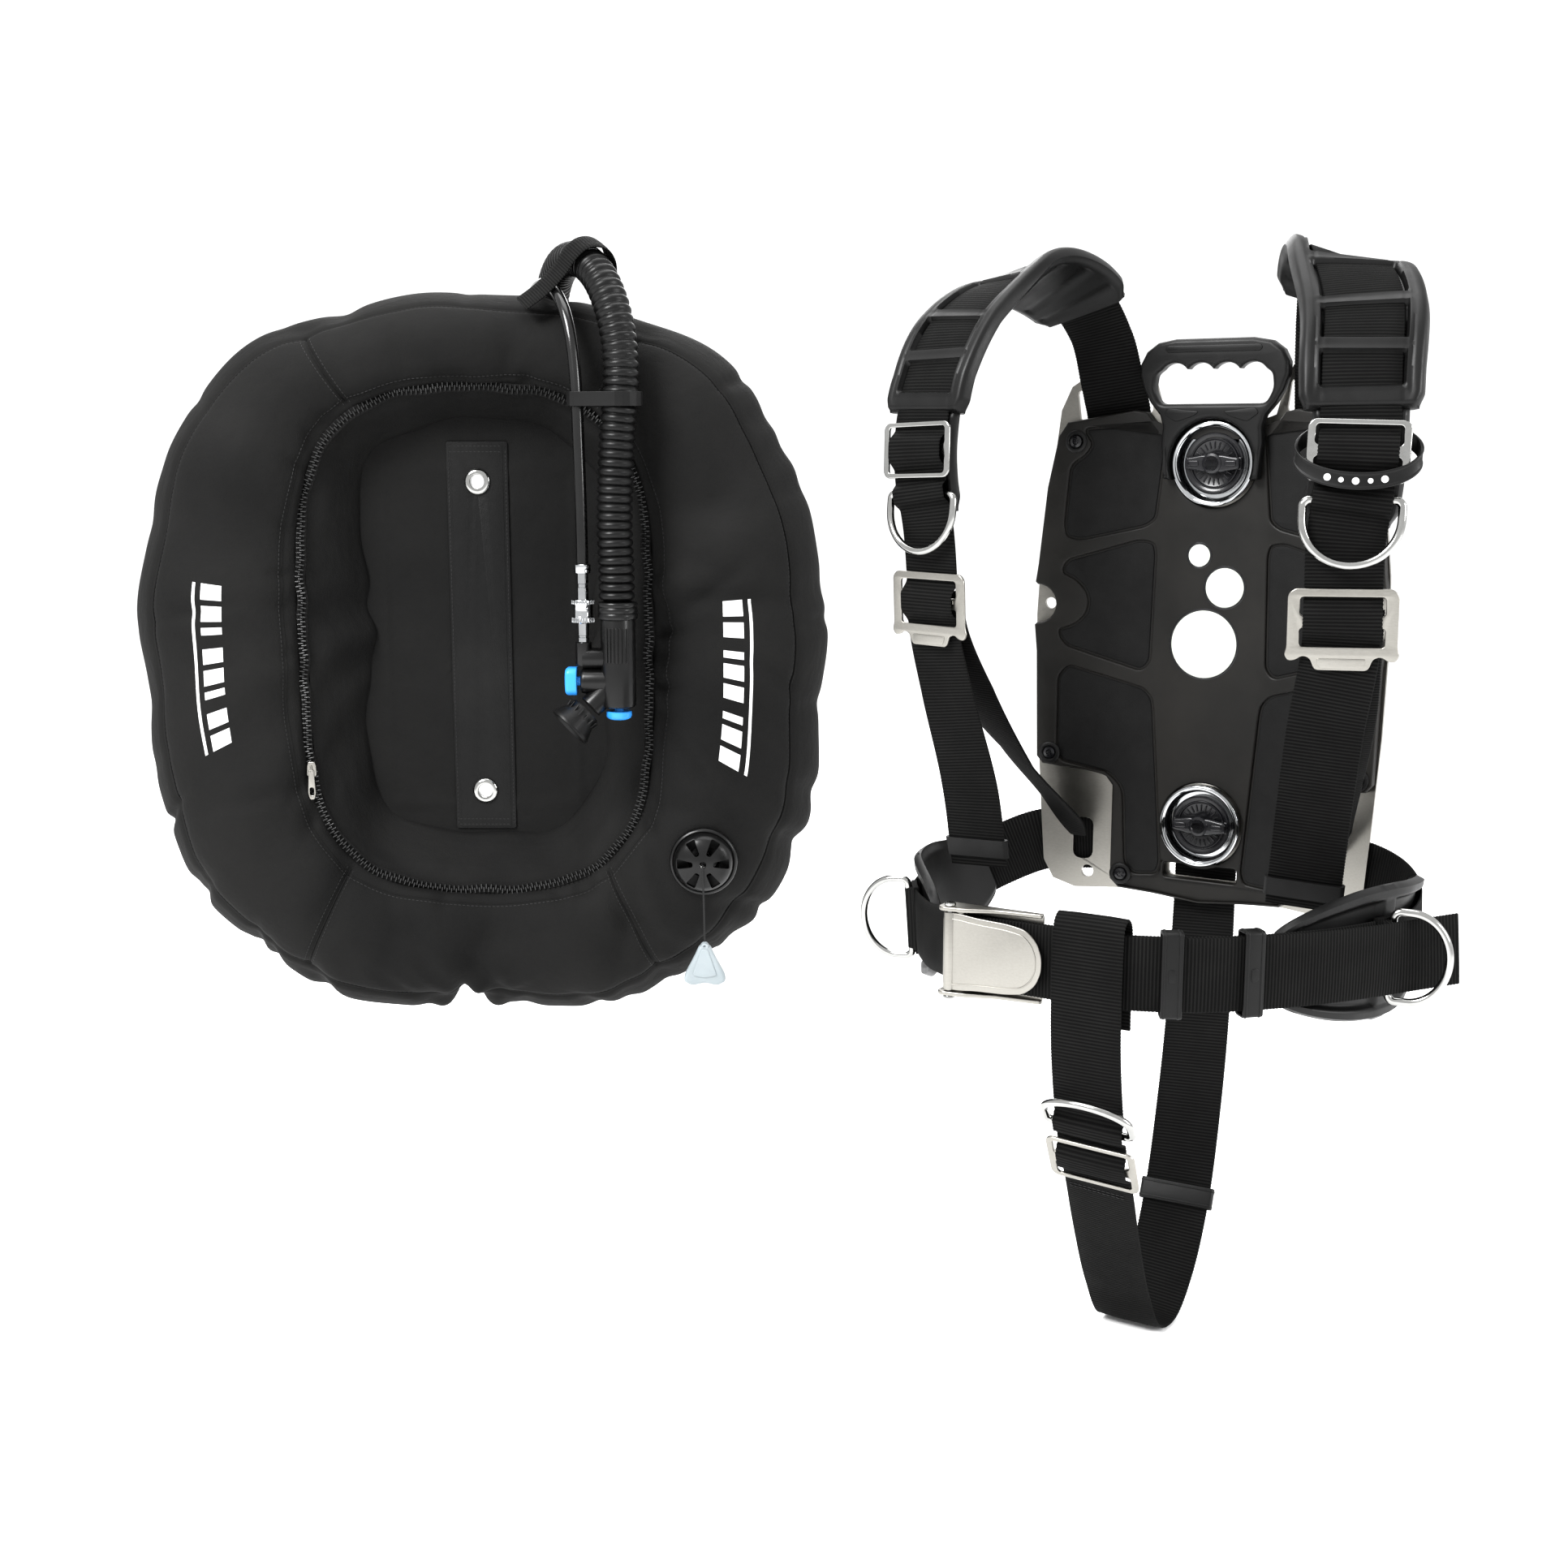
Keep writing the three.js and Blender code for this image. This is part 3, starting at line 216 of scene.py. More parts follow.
def quarter(steps):
    """Pairs of 1 - sine and 1 - cosine over a quarter of a circle."""
    angles = [math.pi / 2 * k / steps for k in range(steps + 1)]
    return [(1 - math.sin(a), 1 - math.cos(a)) for a in angles]


def plate(outline, thickness, bevel=0.4, holes=(), steps=3, low=None):
    """A flat body between Z = 0 and its thickness, with rounded edges and holes."""
    low = bevel if low is None else low
    rows = [(bevel * s, thickness - bevel * c) for s, c in quarter(steps)]
    rows += [(low * c, low * s) for s, c in quarter(steps)]
    loops = [np.asarray(outline, float), *[np.asarray(h, float) for h in holes]]
    verts, faces, tops, bottoms = [], [], [], []
    base = 0
    for number, loop in enumerate(loops):
        if (area(loop) > 0) == (number > 0):
            loop = loop[::-1]
        for depth, z in rows:
            edge = inset(loop, depth)
            verts.append(np.column_stack([edge, np.full(len(edge), z)]))
        count = len(loop)
        faces += [tuple(base + i for i in f) for f in grid_faces(len(rows), count, False, True)]
        tops.append([base + i for i in range(count)])
        bottoms.append([base + (len(rows) - 1) * count + i for i in range(count)])
        base += len(rows) * count
    verts = np.concatenate(verts)
    for ring in (tops, bottoms):
        order = [i for loop in ring for i in loop]
        flat = [[Vector(verts[i][:2].tolist() + [0]) for i in loop] for loop in ring]
        for tri in tessellate_polygon(flat):
            a, b, c = (order[k] for k in tri)
            ab, ac = verts[b] - verts[a], verts[c] - verts[a]
            up = ab[0] * ac[1] - ab[1] * ac[0] > 0
            faces.append((a, b, c) if up == (ring is tops) else (a, c, b))
    return verts, faces, verts.copy()


def turned(profile, sides=64, axis="Z"):
    """A body turned about an axis from a closed profile of (radius, height)."""
    angle = TAU * np.arange(sides) / sides
    out = np.column_stack([np.cos(angle), np.sin(angle), np.zeros(sides)])
    up = np.tile([0.0, 0.0, 1.0], (sides, 1))
    body = sweep(profile, np.zeros((sides, 3)), out, up, closed=True, along=angle * 10)
    return moved(body, TO_AXIS[axis])


# Matrices that take +Z to another direction.
TO_AXIS = {
    "Z": Matrix.Identity(4),
    "X": turn("Y", 90),
    "Y": turn("X", -90),
    "-Y": turn("X", 90),
    "-Z": turn("X", 180),
    "-X": turn("Y", -90),
}


def rod(radius, length, sides=48, bevel=0.5, axis="Z"):
    """A round bar between 0 and its length along an axis, with rounded ends."""
    start = [(radius - bevel * s, bevel * c) for s, c in quarter(3)]
    end = [(radius - bevel * c, length - bevel * s) for s, c in quarter(3)]
    return turned([(0.0, 0.0), *start, *end, (0.0, length)], sides, axis)


class Route:
    """A smooth curve through points, by arc length in the points' own unit."""

    def __init__(self, points, steps=40):
        pts = np.asarray(points, float)
        pts = np.vstack([2 * pts[0] - pts[1], pts, 2 * pts[-1] - pts[-2]])
        line, place = [], []
        for i in range(1, len(pts) - 2):
            p0, p1, p2, p3 = pts[i - 1 : i + 3]
            d0, d1, d2 = (np.linalg.norm(b - a) ** 0.5 for a, b in ((p0, p1), (p1, p2), (p2, p3)))
            m1 = ((p1 - p0) / d0 - (p2 - p0) / (d0 + d1) + (p2 - p1) / d1) * d1
            m2 = ((p2 - p1) / d1 - (p3 - p1) / (d1 + d2) + (p3 - p2) / d2) * d1
            ends = steps + (i == len(pts) - 3)
            t = np.arange(ends)[:, None] / steps
            square_term, cube_term = 3 * (p2 - p1) - 2 * m1 - m2, 2 * (p1 - p2) + m1 + m2
            line.append(p1 + m1 * t + square_term * t**2 + cube_term * t**3)
            place.append(i - 1 + t[:, 0])
        self.line = np.concatenate(line)
        self.place = np.concatenate(place)
        self.s = run(self.line)
        self.length = float(self.s[-1])
        self.tangent = unit(np.gradient(self.line, self.s, axis=0))

    def at(self, s):
        return np.stack([np.interp(s, self.s, self.line[:, k]) for k in range(3)], axis=-1)

    def along(self, s):
        return unit(np.stack([np.interp(s, self.s, self.tangent[:, k]) for k in range(3)], axis=-1))


def round_frames(along):
    """Directions across a curve that turn as little as possible along it."""
    across = np.zeros_like(along)
    seed = np.array([1.0, 0.1, 0.2])
    current = unit(seed - along[0] * (seed @ along[0]))
    for i, direction in enumerate(along):
        current = unit(current - direction * (current @ direction))
        across[i] = current
    return across, np.cross(along, across)


def tube(route, radius, sides=16, step=2.0):
    """A round tube along a route; radius may be a function of the distance along it."""
    s = np.linspace(0, route.length, max(int(route.length / step), 8) + 1)
    across, out = round_frames(route.along(s))
    wide = radius(s) if callable(radius) else np.full(len(s), float(radius))
    return sweep(circle(1, sides), route.at(s), across, out, wide, wide, along=s)


def ease(x):
    x = np.clip(x, 0, 1)
    return x * x * (3 - 2 * x)


def window(x, low, high, soft):
    """1 between two limits and 0 outside them, with soft edges."""
    return ease((x - low) / soft) * ease((high - x) / soft)


class Strap:
    """Webbing along control points of (x, y, z, across x, y, z, width factor)."""

    def __init__(self, points, lifts=()):
        self.route = Route([p[:3] for p in points])
        self.length = self.route.length
        self.across = np.array([p[3:6] for p in points], float)
        self.factor = np.array([p[6] if len(p) > 6 else 1 for p in points], float)
        self.lifts = list(lifts)

    def lift_at(self, s):
        lift = np.zeros_like(s)
        for (s0, h0), (s1, h1) in zip(self.lifts, self.lifts[1:]):
            inside = (s >= s0) & (s <= s1)
            lift = np.where(inside, h0 + (h1 - h0) * ease((s - s0) / (s1 - s0)), lift)
        return lift

    def frames(self, s, flat=False):
        s = np.atleast_1d(np.asarray(s, float))
        inside = np.clip(s, 0, self.length)
        place = np.interp(inside, self.route.s, self.route.place)
        along = self.route.along(inside)
        i = np.minimum(place.astype(int), len(self.across) - 2)
        t = (place - i)[:, None]
        across = self.across[i] * (1 - t) + self.across[i + 1] * t
        across = square(across, along)
        out = np.cross(across, along)
        at = self.route.at(inside)
        if not flat:
            at = at + out * self.lift_at(s)[:, None]
        scale = self.factor[i] * (1 - t[:, 0]) + self.factor[i + 1] * t[:, 0]
        return at, across, along, out, scale

    def near(self, *target):
        """The station nearest to a point, to half a millimetre."""
        s = np.arange(0, self.length, 0.5)
        return float(s[np.argmin(np.linalg.norm(self.route.at(s) - target, axis=1))])

    def place(self, s, lift=0.0):
        """The matrix of a piece made in X (across), Y (along) and Z (out) at one station."""
        at, across, along, out, _ = self.frames([s], flat=True)
        return basis(across[0], along[0], out[0], at[0] + out[0] * lift)


def web_section(s, width=WEB, thick=WEB_T):
    """The ribbed section of webbing at each station: a thin edge and ribs across its faces."""
    rib = 0.17 * np.cos(TAU * s / RIB_PITCH)
    edge = 0.22 * np.cos(TAU * s / RIB_PITCH + 1)
    spread = np.array([-0.5, -0.488, -0.25, 0.0, 0.25, 0.488, 0.5])
    height = np.array([0, 0.34, 0.5, 0.5, 0.5, 0.34, 0])
    x = np.concatenate([spread, spread[-2:0:-1]]) * width
    y = np.concatenate([height, -height[-2:0:-1]]) * thick
    grow = np.abs(x) / (width / 2)
    section = np.zeros((len(s), len(x), 2))
    section[..., 0] = x + edge[:, None] * np.sign(x) * (grow > 0.99)
    section[..., 1] = y + rib[:, None] * np.sign(y) * (grow < 0.9)
    return section


def ribbon(strap, start=0.0, end=None, width=WEB, thick=WEB_T):
    end = strap.length if end is None else end
    s = np.arange(start, end, WEB_STEP)
    at, across, _, out, scale = strap.frames(s)
    return sweep(web_section(s, width, thick), at, across, out, scale, along=s)


def skin(strap, start, end, half, top, bottom, du=1.4, ds=1.6):
    """A moulded pad along a strap: its top and bottom are heights over (across, along)."""
    s = np.linspace(start, end, int((end - start) / ds) + 1)
    t = (s - start) / (end - start)
    widest = float(np.max(half(t)))
    u = np.linspace(-1, 1, int(2 * widest / du) + 1)
    x = u[None, :] * half(t)[:, None]
    at, across, _, out, _ = strap.frames(s, flat=True)
    share = np.broadcast_to(t[:, None], x.shape)
    edge = np.broadcast_to(np.abs(u)[None, :], x.shape)
    layers = []
    for height in (top(x, share, edge), bottom(x, share, edge)):
        layers.append(at[:, None] + across[:, None] * x[..., None] + out[:, None] * height[..., None])
    verts = np.concatenate([layer.reshape(-1, 3) for layer in layers])
    flat = np.stack([x.ravel(), np.repeat(s, x.shape[1]), np.zeros(x.size)], axis=1)
    return verts, outward(verts, sheet_faces(*x.shape)), np.concatenate([flat, flat])


def stitches(line, normal, pitch=4.6, length=3.3, width=0.5):
    """Short threads along a line of points that lies on a surface."""
    s = run(line)
    marks = np.arange(pitch / 2, s[-1] - pitch / 2, pitch)
    shape = [(-0.5, 0.15), (-0.34, 0.9), (0, 1.0), (0.34, 0.9), (0.5, 0.15)]
    ring = circle(1, 6)
    verts, faces = [], []
    for mark in marks:
        middle, ahead, up = (
            np.array([np.interp(place, s, values[:, k]) for k in range(3)])
            for place, values in ((mark, line), (mark + 0.6, line), (mark, normal))
        )
        ahead = unit(ahead - middle)
        up = unit(up - ahead * (up @ ahead))
        side = np.cross(ahead, up)
        base = len(verts)
        for share, wide in shape:
            centre = middle + ahead * share * length + up * 0.12 * wide
            for a, b in ring:
                verts.append(centre + side * a * wide * width + up * b * wide * width * 0.7)
        faces += [tuple(base + i for i in f) for f in grid_faces(len(shape), 6, False, True)]
        last = base + 6 * (len(shape) - 1)
        faces.append(tuple(base + i for i in reversed(range(6))))
        faces.append(tuple(last + i for i in range(6)))
    verts = np.array(verts)
    return verts, outward(verts, faces), verts.copy()


# ---- Objects ----
def close_up(mesh, thin=False):
    """Merges doubled points, dissolves faces without area if asked, and turns faces outwards."""
    made = bmesh.new()
    made.from_mesh(mesh)
    bmesh.ops.remove_doubles(made, verts=made.verts, dist=1e-6)
    if thin:
        bmesh.ops.dissolve_degenerate(made, edges=made.edges, dist=1e-7)
    bmesh.ops.recalc_face_normals(made, faces=made.faces)
    made.to_mesh(mesh)
    made.free()


def piece(name, bodies, place, look, body, replaces=(), smooth=40, weld=False):
    """One object from bodies in millimetres; it rides on a CAD body and may replace its nodes.

    The smoothing angle is in degrees. Welding is for bodies that meet in doubled points.
    """
    bodies = bodies if isinstance(bodies, list) else [bodies]
    count, verts, faces, lays = 0, [], [], []
    for points, polygons, lay in bodies:
        verts.append(points)
        lays.append(lay)
        faces += [tuple(count + i for i in f) for f in polygons]
        count += len(points)
    m = np.array(place)
    verts = (np.concatenate(verts) @ m[:3, :3].T + m[:3, 3]) * MM
    mesh = bpy.data.meshes.new(name)
    mesh.from_pydata(verts, [], faces)
    lay = mesh.attributes.new("lay", "FLOAT_VECTOR", "POINT")
    lay.data.foreach_set("vector", np.concatenate(lays).astype(np.float32).ravel())
    if weld:
        close_up(mesh, thin=True)
    mesh.validate()
    mesh.shade_smooth()
    mesh.set_sharp_from_angle(angle=math.radians(smooth))
    mesh.materials.append(LOOKS[look])
    obj = bpy.data.objects.new(name, mesh)
    bpy.context.scene.collection.objects.link(obj)
    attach(obj, body)
    if replaces:
        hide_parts(*([replaces] if isinstance(replaces, str) else replaces))
    return obj


def settle(obj):
    """Applies the object's modifiers to its mesh."""
    graph = bpy.context.evaluated_depsgraph_get()
    made = bpy.data.meshes.new_from_object(obj.evaluated_get(graph))
    obj.modifiers.clear()
    obj.data = made


def cut(obj, tools):
    """Cuts closed bodies, in millimetres and in the row's frame, out of an object."""
    for body, place in tools:
        verts, faces, _ = moved(body, place)
        mesh = bpy.data.meshes.new("tool")
        mesh.from_pydata(verts * MM, [], faces)
        tool = bpy.data.objects.new("tool", mesh)
        bpy.context.scene.collection.objects.link(tool)
        close_up(mesh)
        knife = obj.modifiers.new("cut", "BOOLEAN")
        knife.operation = "DIFFERENCE"
        knife.solver = "EXACT"
        knife.object = tool
        bpy.context.view_layer.update()
        settle(obj)
        bpy.data.objects.remove(tool)


# ---- Materials ----
class Look:
    """A procedural material: a Principled shader with nodes for its colour, roughness and bump."""

    def __init__(self, name, **sockets):
        self.material = bpy.data.materials.new(name)
        self.material.use_nodes = True
        self.nodes = self.material.node_tree.nodes
        self.links = self.material.node_tree.links
        self.shader = self.nodes["Principled BSDF"]
        for socket, value in sockets.items():
            self.shader.inputs[socket.replace("_", " ")].default_value = value

    def add(self, kind, settings=None, **inputs):
        node = self.nodes.new("ShaderNode" + kind)
        for key, value in (settings or {}).items():
            setattr(node, key, value)
        for key, value in inputs.items():
            name = int(key[1:]) if key[1:].isdigit() else key.replace("_", " ")
            socket = node.inputs[name]
            if isinstance(value, bpy.types.NodeSocket):
                self.links.new(value, socket)
            else:
                socket.default_value = value
        return node

    def place(self, scale, lay=False):
        """Coordinates in metres times a scale, from the object or from its lay attribute."""
        if lay:
            source = self.add("Attribute", {"attribute_name": "lay"}).outputs["Vector"]
        else:
            source = self.add("TexCoord").outputs["Object"]
        scale = scale if hasattr(scale, "__len__") else (scale,) * 3
        return self.add("Mapping", Vector=source, Scale=scale).outputs["Vector"]

    def noise(self, scale, detail=4.0, rough=0.5, lay=False):
        where = self.place(scale, lay)
        node = self.add("TexNoise", Vector=where, Scale=1.0, Detail=detail, Roughness=rough)
        return node.outputs["Fac"]

    def ramp(self, value, *stops):
        node = self.add("ValToRGB", Fac=value)
        for i, (place, colour) in enumerate(stops):
            stop = node.color_ramp.elements[i] if i < 2 else node.color_ramp.elements.new(place)
            stop.position = place
            stop.color = (*colour, 1) if hasattr(colour, "__len__") else (colour, colour, colour, 1)
        return node.outputs["Color"]

    def maths(self, operation, a, b=0.0):
        return self.add("Math", {"operation": operation}, _0=a, _1=b).outputs["Value"]

    def colour(self, output):
        self.links.new(output, self.shader.inputs["Base Color"])

    def rough(self, output):
        self.links.new(output, self.shader.inputs["Roughness"])

    def bump(self, *layers):
        """Each layer is a height output, how far it stands out in metres, and its strength."""
        normal = None
        for height, distance, strength in layers:
            extra = {} if normal is None else {"Normal": normal}
            node = self.add("Bump", Height=height, Distance=distance, Strength=strength, **extra)
            normal = node.outputs["Normal"]
        self.links.new(normal, self.shader.inputs["Normal"])


def webbing_look():
    look = Look("webbing", Roughness=0.74, Specular_IOR_Level=0.12)
    across, along, _ = look.add("SeparateXYZ", Vector=look.place(1.0, lay=True)).outputs
    # The colour's rib stripes are painted highlight on the ribs' crests and painted shade in the
    # grooves between them, in step with the ribs of the mesh; the worn noise is tone that differs at
    # random.
    rib = look.maths("COSINE", look.maths("MULTIPLY", along, TAU / RIB_PITCH))
    thread = look.maths("SINE", look.maths("MULTIPLY", across, TAU / 1.1))
    twill = look.maths("MULTIPLY", thread, look.maths("SINE", look.maths("MULTIPLY", along, TAU / 1.2)))
    worn = look.noise(35.0)
    tone = look.maths("ADD", look.maths("MULTIPLY", rib, 0.34), look.maths("MULTIPLY", worn, 0.5))
    look.colour(look.ramp(tone, (0.05, 0.0015), (0.75, (0.0115, 0.0115, 0.011))))
    look.bump((twill, 0.00012, 0.5), (look.noise(900.0), 0.0001, 0.5))
    return look.material


def cloth_look(name, shade=1.0, speckle=0.5, rough=0.72):
    look = Look(name, Roughness=rough, Specular_IOR_Level=0.2)
    fine = look.noise(1500.0, 2.0, 0.6)
    broad = look.noise(9.0, 5.0)
    tone = look.maths("ADD", look.maths("MULTIPLY", fine, speckle), look.maths("MULTIPLY", broad, 0.45))
    dark, light = 0.0026 * shade, 0.0145 * shade
    look.colour(look.ramp(tone, (0.3, dark), (0.75, (light, light * 0.98, light * 0.94))))
    weave = look.add("TexVoronoi", Vector=look.place(1150.0), Scale=1.0).outputs["Distance"]
    creases = look.noise((26.0, 60.0, 26.0), 6.0, 0.55)
    look.bump((weave, 0.00022, 0.55), (creases, 0.004, 0.5))
    look.rough(look.ramp(fine, (0.3, rough), (0.8, min(rough + 0.18, 1.0))))
    return look.material


def moulded_look(name, dark, light, rough, grain=700.0, depth=0.00012, coat=0.0):
    look = Look(name, Roughness=rough, Coat_Weight=coat, Coat_Roughness=0.2,
                Specular_IOR_Level=0.27)
    broad = look.noise(16.0, 4.0)
    look.colour(look.ramp(broad, (0.3, dark), (0.72, light)))
    smear = look.noise(42.0, 5.0, 0.6)
    look.rough(look.ramp(smear, (0.3, max(rough - 0.07, 0.03)), (0.75, min(rough + 0.09, 1.0))))
    look.bump((look.noise(grain, 3.0), depth, 0.35))
    return look.material


def metal_look(name, tint, rough, brush=(30.0, 900.0, 900.0), depth=0.00004):
    look = Look(name, Roughness=rough, Metallic=1.0)
    lines = look.noise(brush, 3.0, 0.65)
    broad = look.noise(22.0, 4.0)
    shade = look.maths("ADD", look.maths("MULTIPLY", lines, 0.5), look.maths("MULTIPLY", broad, 0.5))
    darker = tuple(0.86 * c for c in tint)
    look.colour(look.ramp(shade, (0.35, darker), (0.65, tint)))
    look.rough(look.ramp(shade, (0.35, rough), (0.7, min(rough * 1.35 + 0.02, 1.0))))
    look.bump((lines, depth, 0.4))
    return look.material


LOOKS = {
    "webbing": webbing_look(),
    "cloth": cloth_look("wing_cloth"),
    "satin": cloth_look("satin_strip", 1.5, 0.2, 0.4),
    "lining": cloth_look("panel_cloth", 0.85),
    "rubber": moulded_look("moulded_rubber", 0.0035, 0.008, 0.42, 500.0),
    "keeper": moulded_look("keeper_rubber", 0.003, 0.006, 0.46, 300.0),
    "band": moulded_look("cover_skin", (0.006, 0.0057, 0.0051), (0.0135, 0.0125, 0.011), 0.46, 900.0),
    "panel": moulded_look("cover_panel", 0.003, 0.005, 0.66, 1400.0, 0.0003),
    "steel": metal_look("brushed_steel", (0.33, 0.32, 0.295), 0.3),
    "bright": metal_look("polished_steel", (0.4, 0.4, 0.39), 0.12, 200.0, 0.00001),
    "chrome": metal_look("chrome", (0.5, 0.51, 0.52), 0.06, 120.0, 0.000005),
    "knob": moulded_look("knob_plastic", (0.004, 0.004, 0.005), (0.009, 0.009, 0.011), 0.24, 500.0,
                         0.00005, 0.4),
    "plastic": moulded_look("valve_plastic", 0.0035, 0.0075, 0.32, 800.0, 0.00006, 0.15),
    "hose": moulded_look("hose_rubber", 0.003, 0.0065, 0.38, 400.0, 0.0001),
    "gloss": moulded_look("gloss_hose", 0.004, 0.008, 0.2, 300.0, 0.00004, 0.5),
    "teeth": moulded_look("zip_coil", 0.012, 0.024, 0.16, 900.0, 0.00003, 0.3),
    "blue": moulded_look("blue_button", (0.035, 0.27, 0.72), (0.055, 0.33, 0.82), 0.36, 600.0, 0.00004,
                         0.2),
    "white": moulded_look("white_inlay", (0.56, 0.59, 0.54), (0.64, 0.66, 0.61), 0.42, 600.0, 0.00004),
    "print": moulded_look("white_print", 0.62, 0.72, 0.6, 1200.0, 0.0001),
    "pull": moulded_look("pull_plastic", (0.25, 0.285, 0.3), (0.36, 0.4, 0.42), 0.38, 600.0, 0.00004,
                         0.2),
    "thread": moulded_look("thread", 0.012, 0.03, 0.6, 2000.0, 0.0001),
    "bladder": moulded_look("bladder_film", (0.2, 0.21, 0.22), (0.27, 0.28, 0.29), 0.4, 200.0, 0.0001),
}


def restyle(look, *nodes, bevel=0.0):
    """Gives CAD nodes a finished material and softened edges; their own meshes stay as they are."""
    for name in nodes:
        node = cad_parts[name]
        node.data.materials.clear()
        node.data.materials.append(LOOKS[look])
        if bevel:
            weld = node.modifiers.new("weld", "WELD")
            weld.merge_threshold = 1e-5
            edge = node.modifiers.new("edges", "BEVEL")
            edge.width = bevel * MM
            edge.segments = 3
            edge.limit_method = "ANGLE"
            edge.angle_limit = math.radians(35)
            edge.harden_normals = True


# ---- Camera, floor and light ----
def stage():
    scene = bpy.context.scene
    scene.view_settings.view_transform = "Standard"
    scene.view_settings.look = "Medium High Contrast"
    camera = bpy.data.objects.new("camera", bpy.data.cameras.new("camera"))
    camera.data.lens = 44.44
    camera.data.sensor_width = 36
    camera.data.clip_end = 60
    camera.location = (-0.332, -1.4958, 0.1551)
    camera.rotation_euler = (math.radians(80), 0, 0)
    scene.collection.objects.link(camera)
    scene.camera = camera

    mesh = bpy.data.meshes.new("floor")
    side = 14
    corners = [(x * side, y * side, FLOOR_Z) for x, y in ((-1, -1), (1, -1), (1, 1), (-1, 1))]
    mesh.from_pydata(corners, [], [(0, 1, 2, 3)])
    floor = bpy.data.objects.new("floor", mesh)
    scene.collection.objects.link(floor)
    paper = Look("paper", Roughness=0.9, Base_Color=(0.97, 0.97, 0.97, 1))
    mesh.materials.append(paper.material)

    world = bpy.data.worlds.new("studio")
    scene.world = world
    world.use_nodes = True
    backdrop = world.node_tree.nodes["Background"]
    backdrop.inputs["Color"].default_value = (1, 1, 1, 1)
    backdrop.inputs["Strength"].default_value = 1.0
    softboxes = (
        ("key", (-1.7, -1.3, 1.7), (-0.35, 0.1, -0.05), 1.0, 85),
        ("fill", (1.9, -1.0, 0.7), (-0.2, 0.0, -0.05), 1.0, 36),
        ("top", (-0.3, 0.3, 2.2), (-0.3, 0.0, 0.0), 1.8, 34),
        ("back", (-0.4, 2.2, 1.4), (-0.3, 0.1, 0.0), 1.6, 22),
    )
    for name, place, aim, size, power in softboxes:
        light = bpy.data.lights.new(name, "AREA")
        light.size = size
        light.energy = power
        lamp = bpy.data.objects.new(name, light)
        lamp.location = place
        lamp.rotation_euler = (Vector(aim) - Vector(place)).to_track_quat("-Z", "Y").to_euler()
        scene.collection.objects.link(lamp)


stage()

# ---- Cords ----
# Routes in metres, in the wing's own frame.
HOSE_ROUTE = [
    (0.1305, -0.092, 0.042), (0.1305, -0.092, 0.066), (0.1295, -0.0915, 0.1),
    (0.1305, -0.0905, 0.14), (0.133, -0.089, 0.184), (0.136, -0.087, 0.222), (0.135, -0.083, 0.254),
    (0.129, -0.075, 0.284), (0.119, -0.06, 0.308), (0.106, -0.038, 0.324), (0.093, -0.01, 0.331),
    (0.08, 0.02, 0.331), (0.069, 0.05, 0.322), (0.062, 0.07, 0.306), (0.06, 0.076, 0.29),
    (0.06, 0.076, 0.2846),
]
LP_ROUTE = [
    (0.1015, -0.092, 0.0728), (0.1015, -0.092, 0.092), (0.101, -0.0915, 0.13), (0.1, -0.09, 0.17),
    (0.099, -0.088, 0.206), (0.097, -0.084, 0.238), (0.093, -0.078, 0.266), (0.086, -0.066, 0.288),
    (0.077, -0.046, 0.302), (0.068, -0.022, 0.309), (0.059, 0.004, 0.31), (0.051, 0.03, 0.306),
    (0.044, 0.053, 0.293), (0.039, 0.069, 0.268), (0.036, 0.079, 0.234), (0.034, 0.085, 0.196),
    (0.033, 0.088, 0.15), (0.032, 0.089, 0.11), (0.032, 0.089, 0.078),
]
# The pull cord's route is about the dump valve's axis.
PULL_ROUTE = [
    (0.0, -0.0912, 0.0), (0.0, -0.0926, -0.0015), (0.0, -0.0932, -0.005), (0.0002, -0.0933, -0.012),
    (0.0005, -0.0932, -0.024), (0.0008, -0.093, -0.038), (0.001, -0.0928, -0.052),
    (0.0012, -0.0926, -0.064), (0.0013, -0.0925, -0.07),
]
HOSE_R = 15.5
LP_R = 5.2
CORRUGATION = 7.4
VALVE_PLACE = WING @ shift(VALVE[0], 0, VALVE[1])


def hose_radius(s):
    """Round ribs with narrow grooves."""
    wave = np.abs(np.sin(math.pi * s / CORRUGATION)) ** 0.55
    return HOSE_R - 3.1 * (1 - wave)


def cords():
    hose = Route(np.array(HOSE_ROUTE) / MM)
    body = tube(hose, hose_radius, 40, CORRUGATION / 9)
    made = piece("inflator_hose", body, WING, "hose", "wing", "corrugated_hose", 60)

    supply = Route(np.array(LP_ROUTE) / MM)
    body = tube(supply, LP_R, 24, 3.0)
    made = piece("supply_hose", body, WING, "gloss", "wing", "lp_hose", 60)
    fitting = piece("supply_hose_fitting", hose_fitting(), WING, "chrome", "wing",
                    "lp_hose_end")

    pull = Route(np.array(PULL_ROUTE) / MM)
    s = np.linspace(0, pull.length, 220)
    across, out = round_frames(pull.along(s))
    strands = []
    for strand in range(3):
        turn_by = TAU * (s / 5 + strand / 3)
        side = across * np.cos(turn_by)[:, None] + out * np.sin(turn_by)[:, None]
        strands.append(sweep(circle(0.47, 8), pull.at(s) + side * 0.43, across, out, along=s))
    made = piece("dump_pull_string", strands, VALVE_PLACE, "thread", "dump_pull",
                 "dump_pull_cord")
    knob = pull_knob()


def hexagon(radius, height, at):
    loop = smooth_loop(circle(radius, 6), 0.8, 3)
    return moved(plate(loop, height, 0.5), shift(0, 0, at))


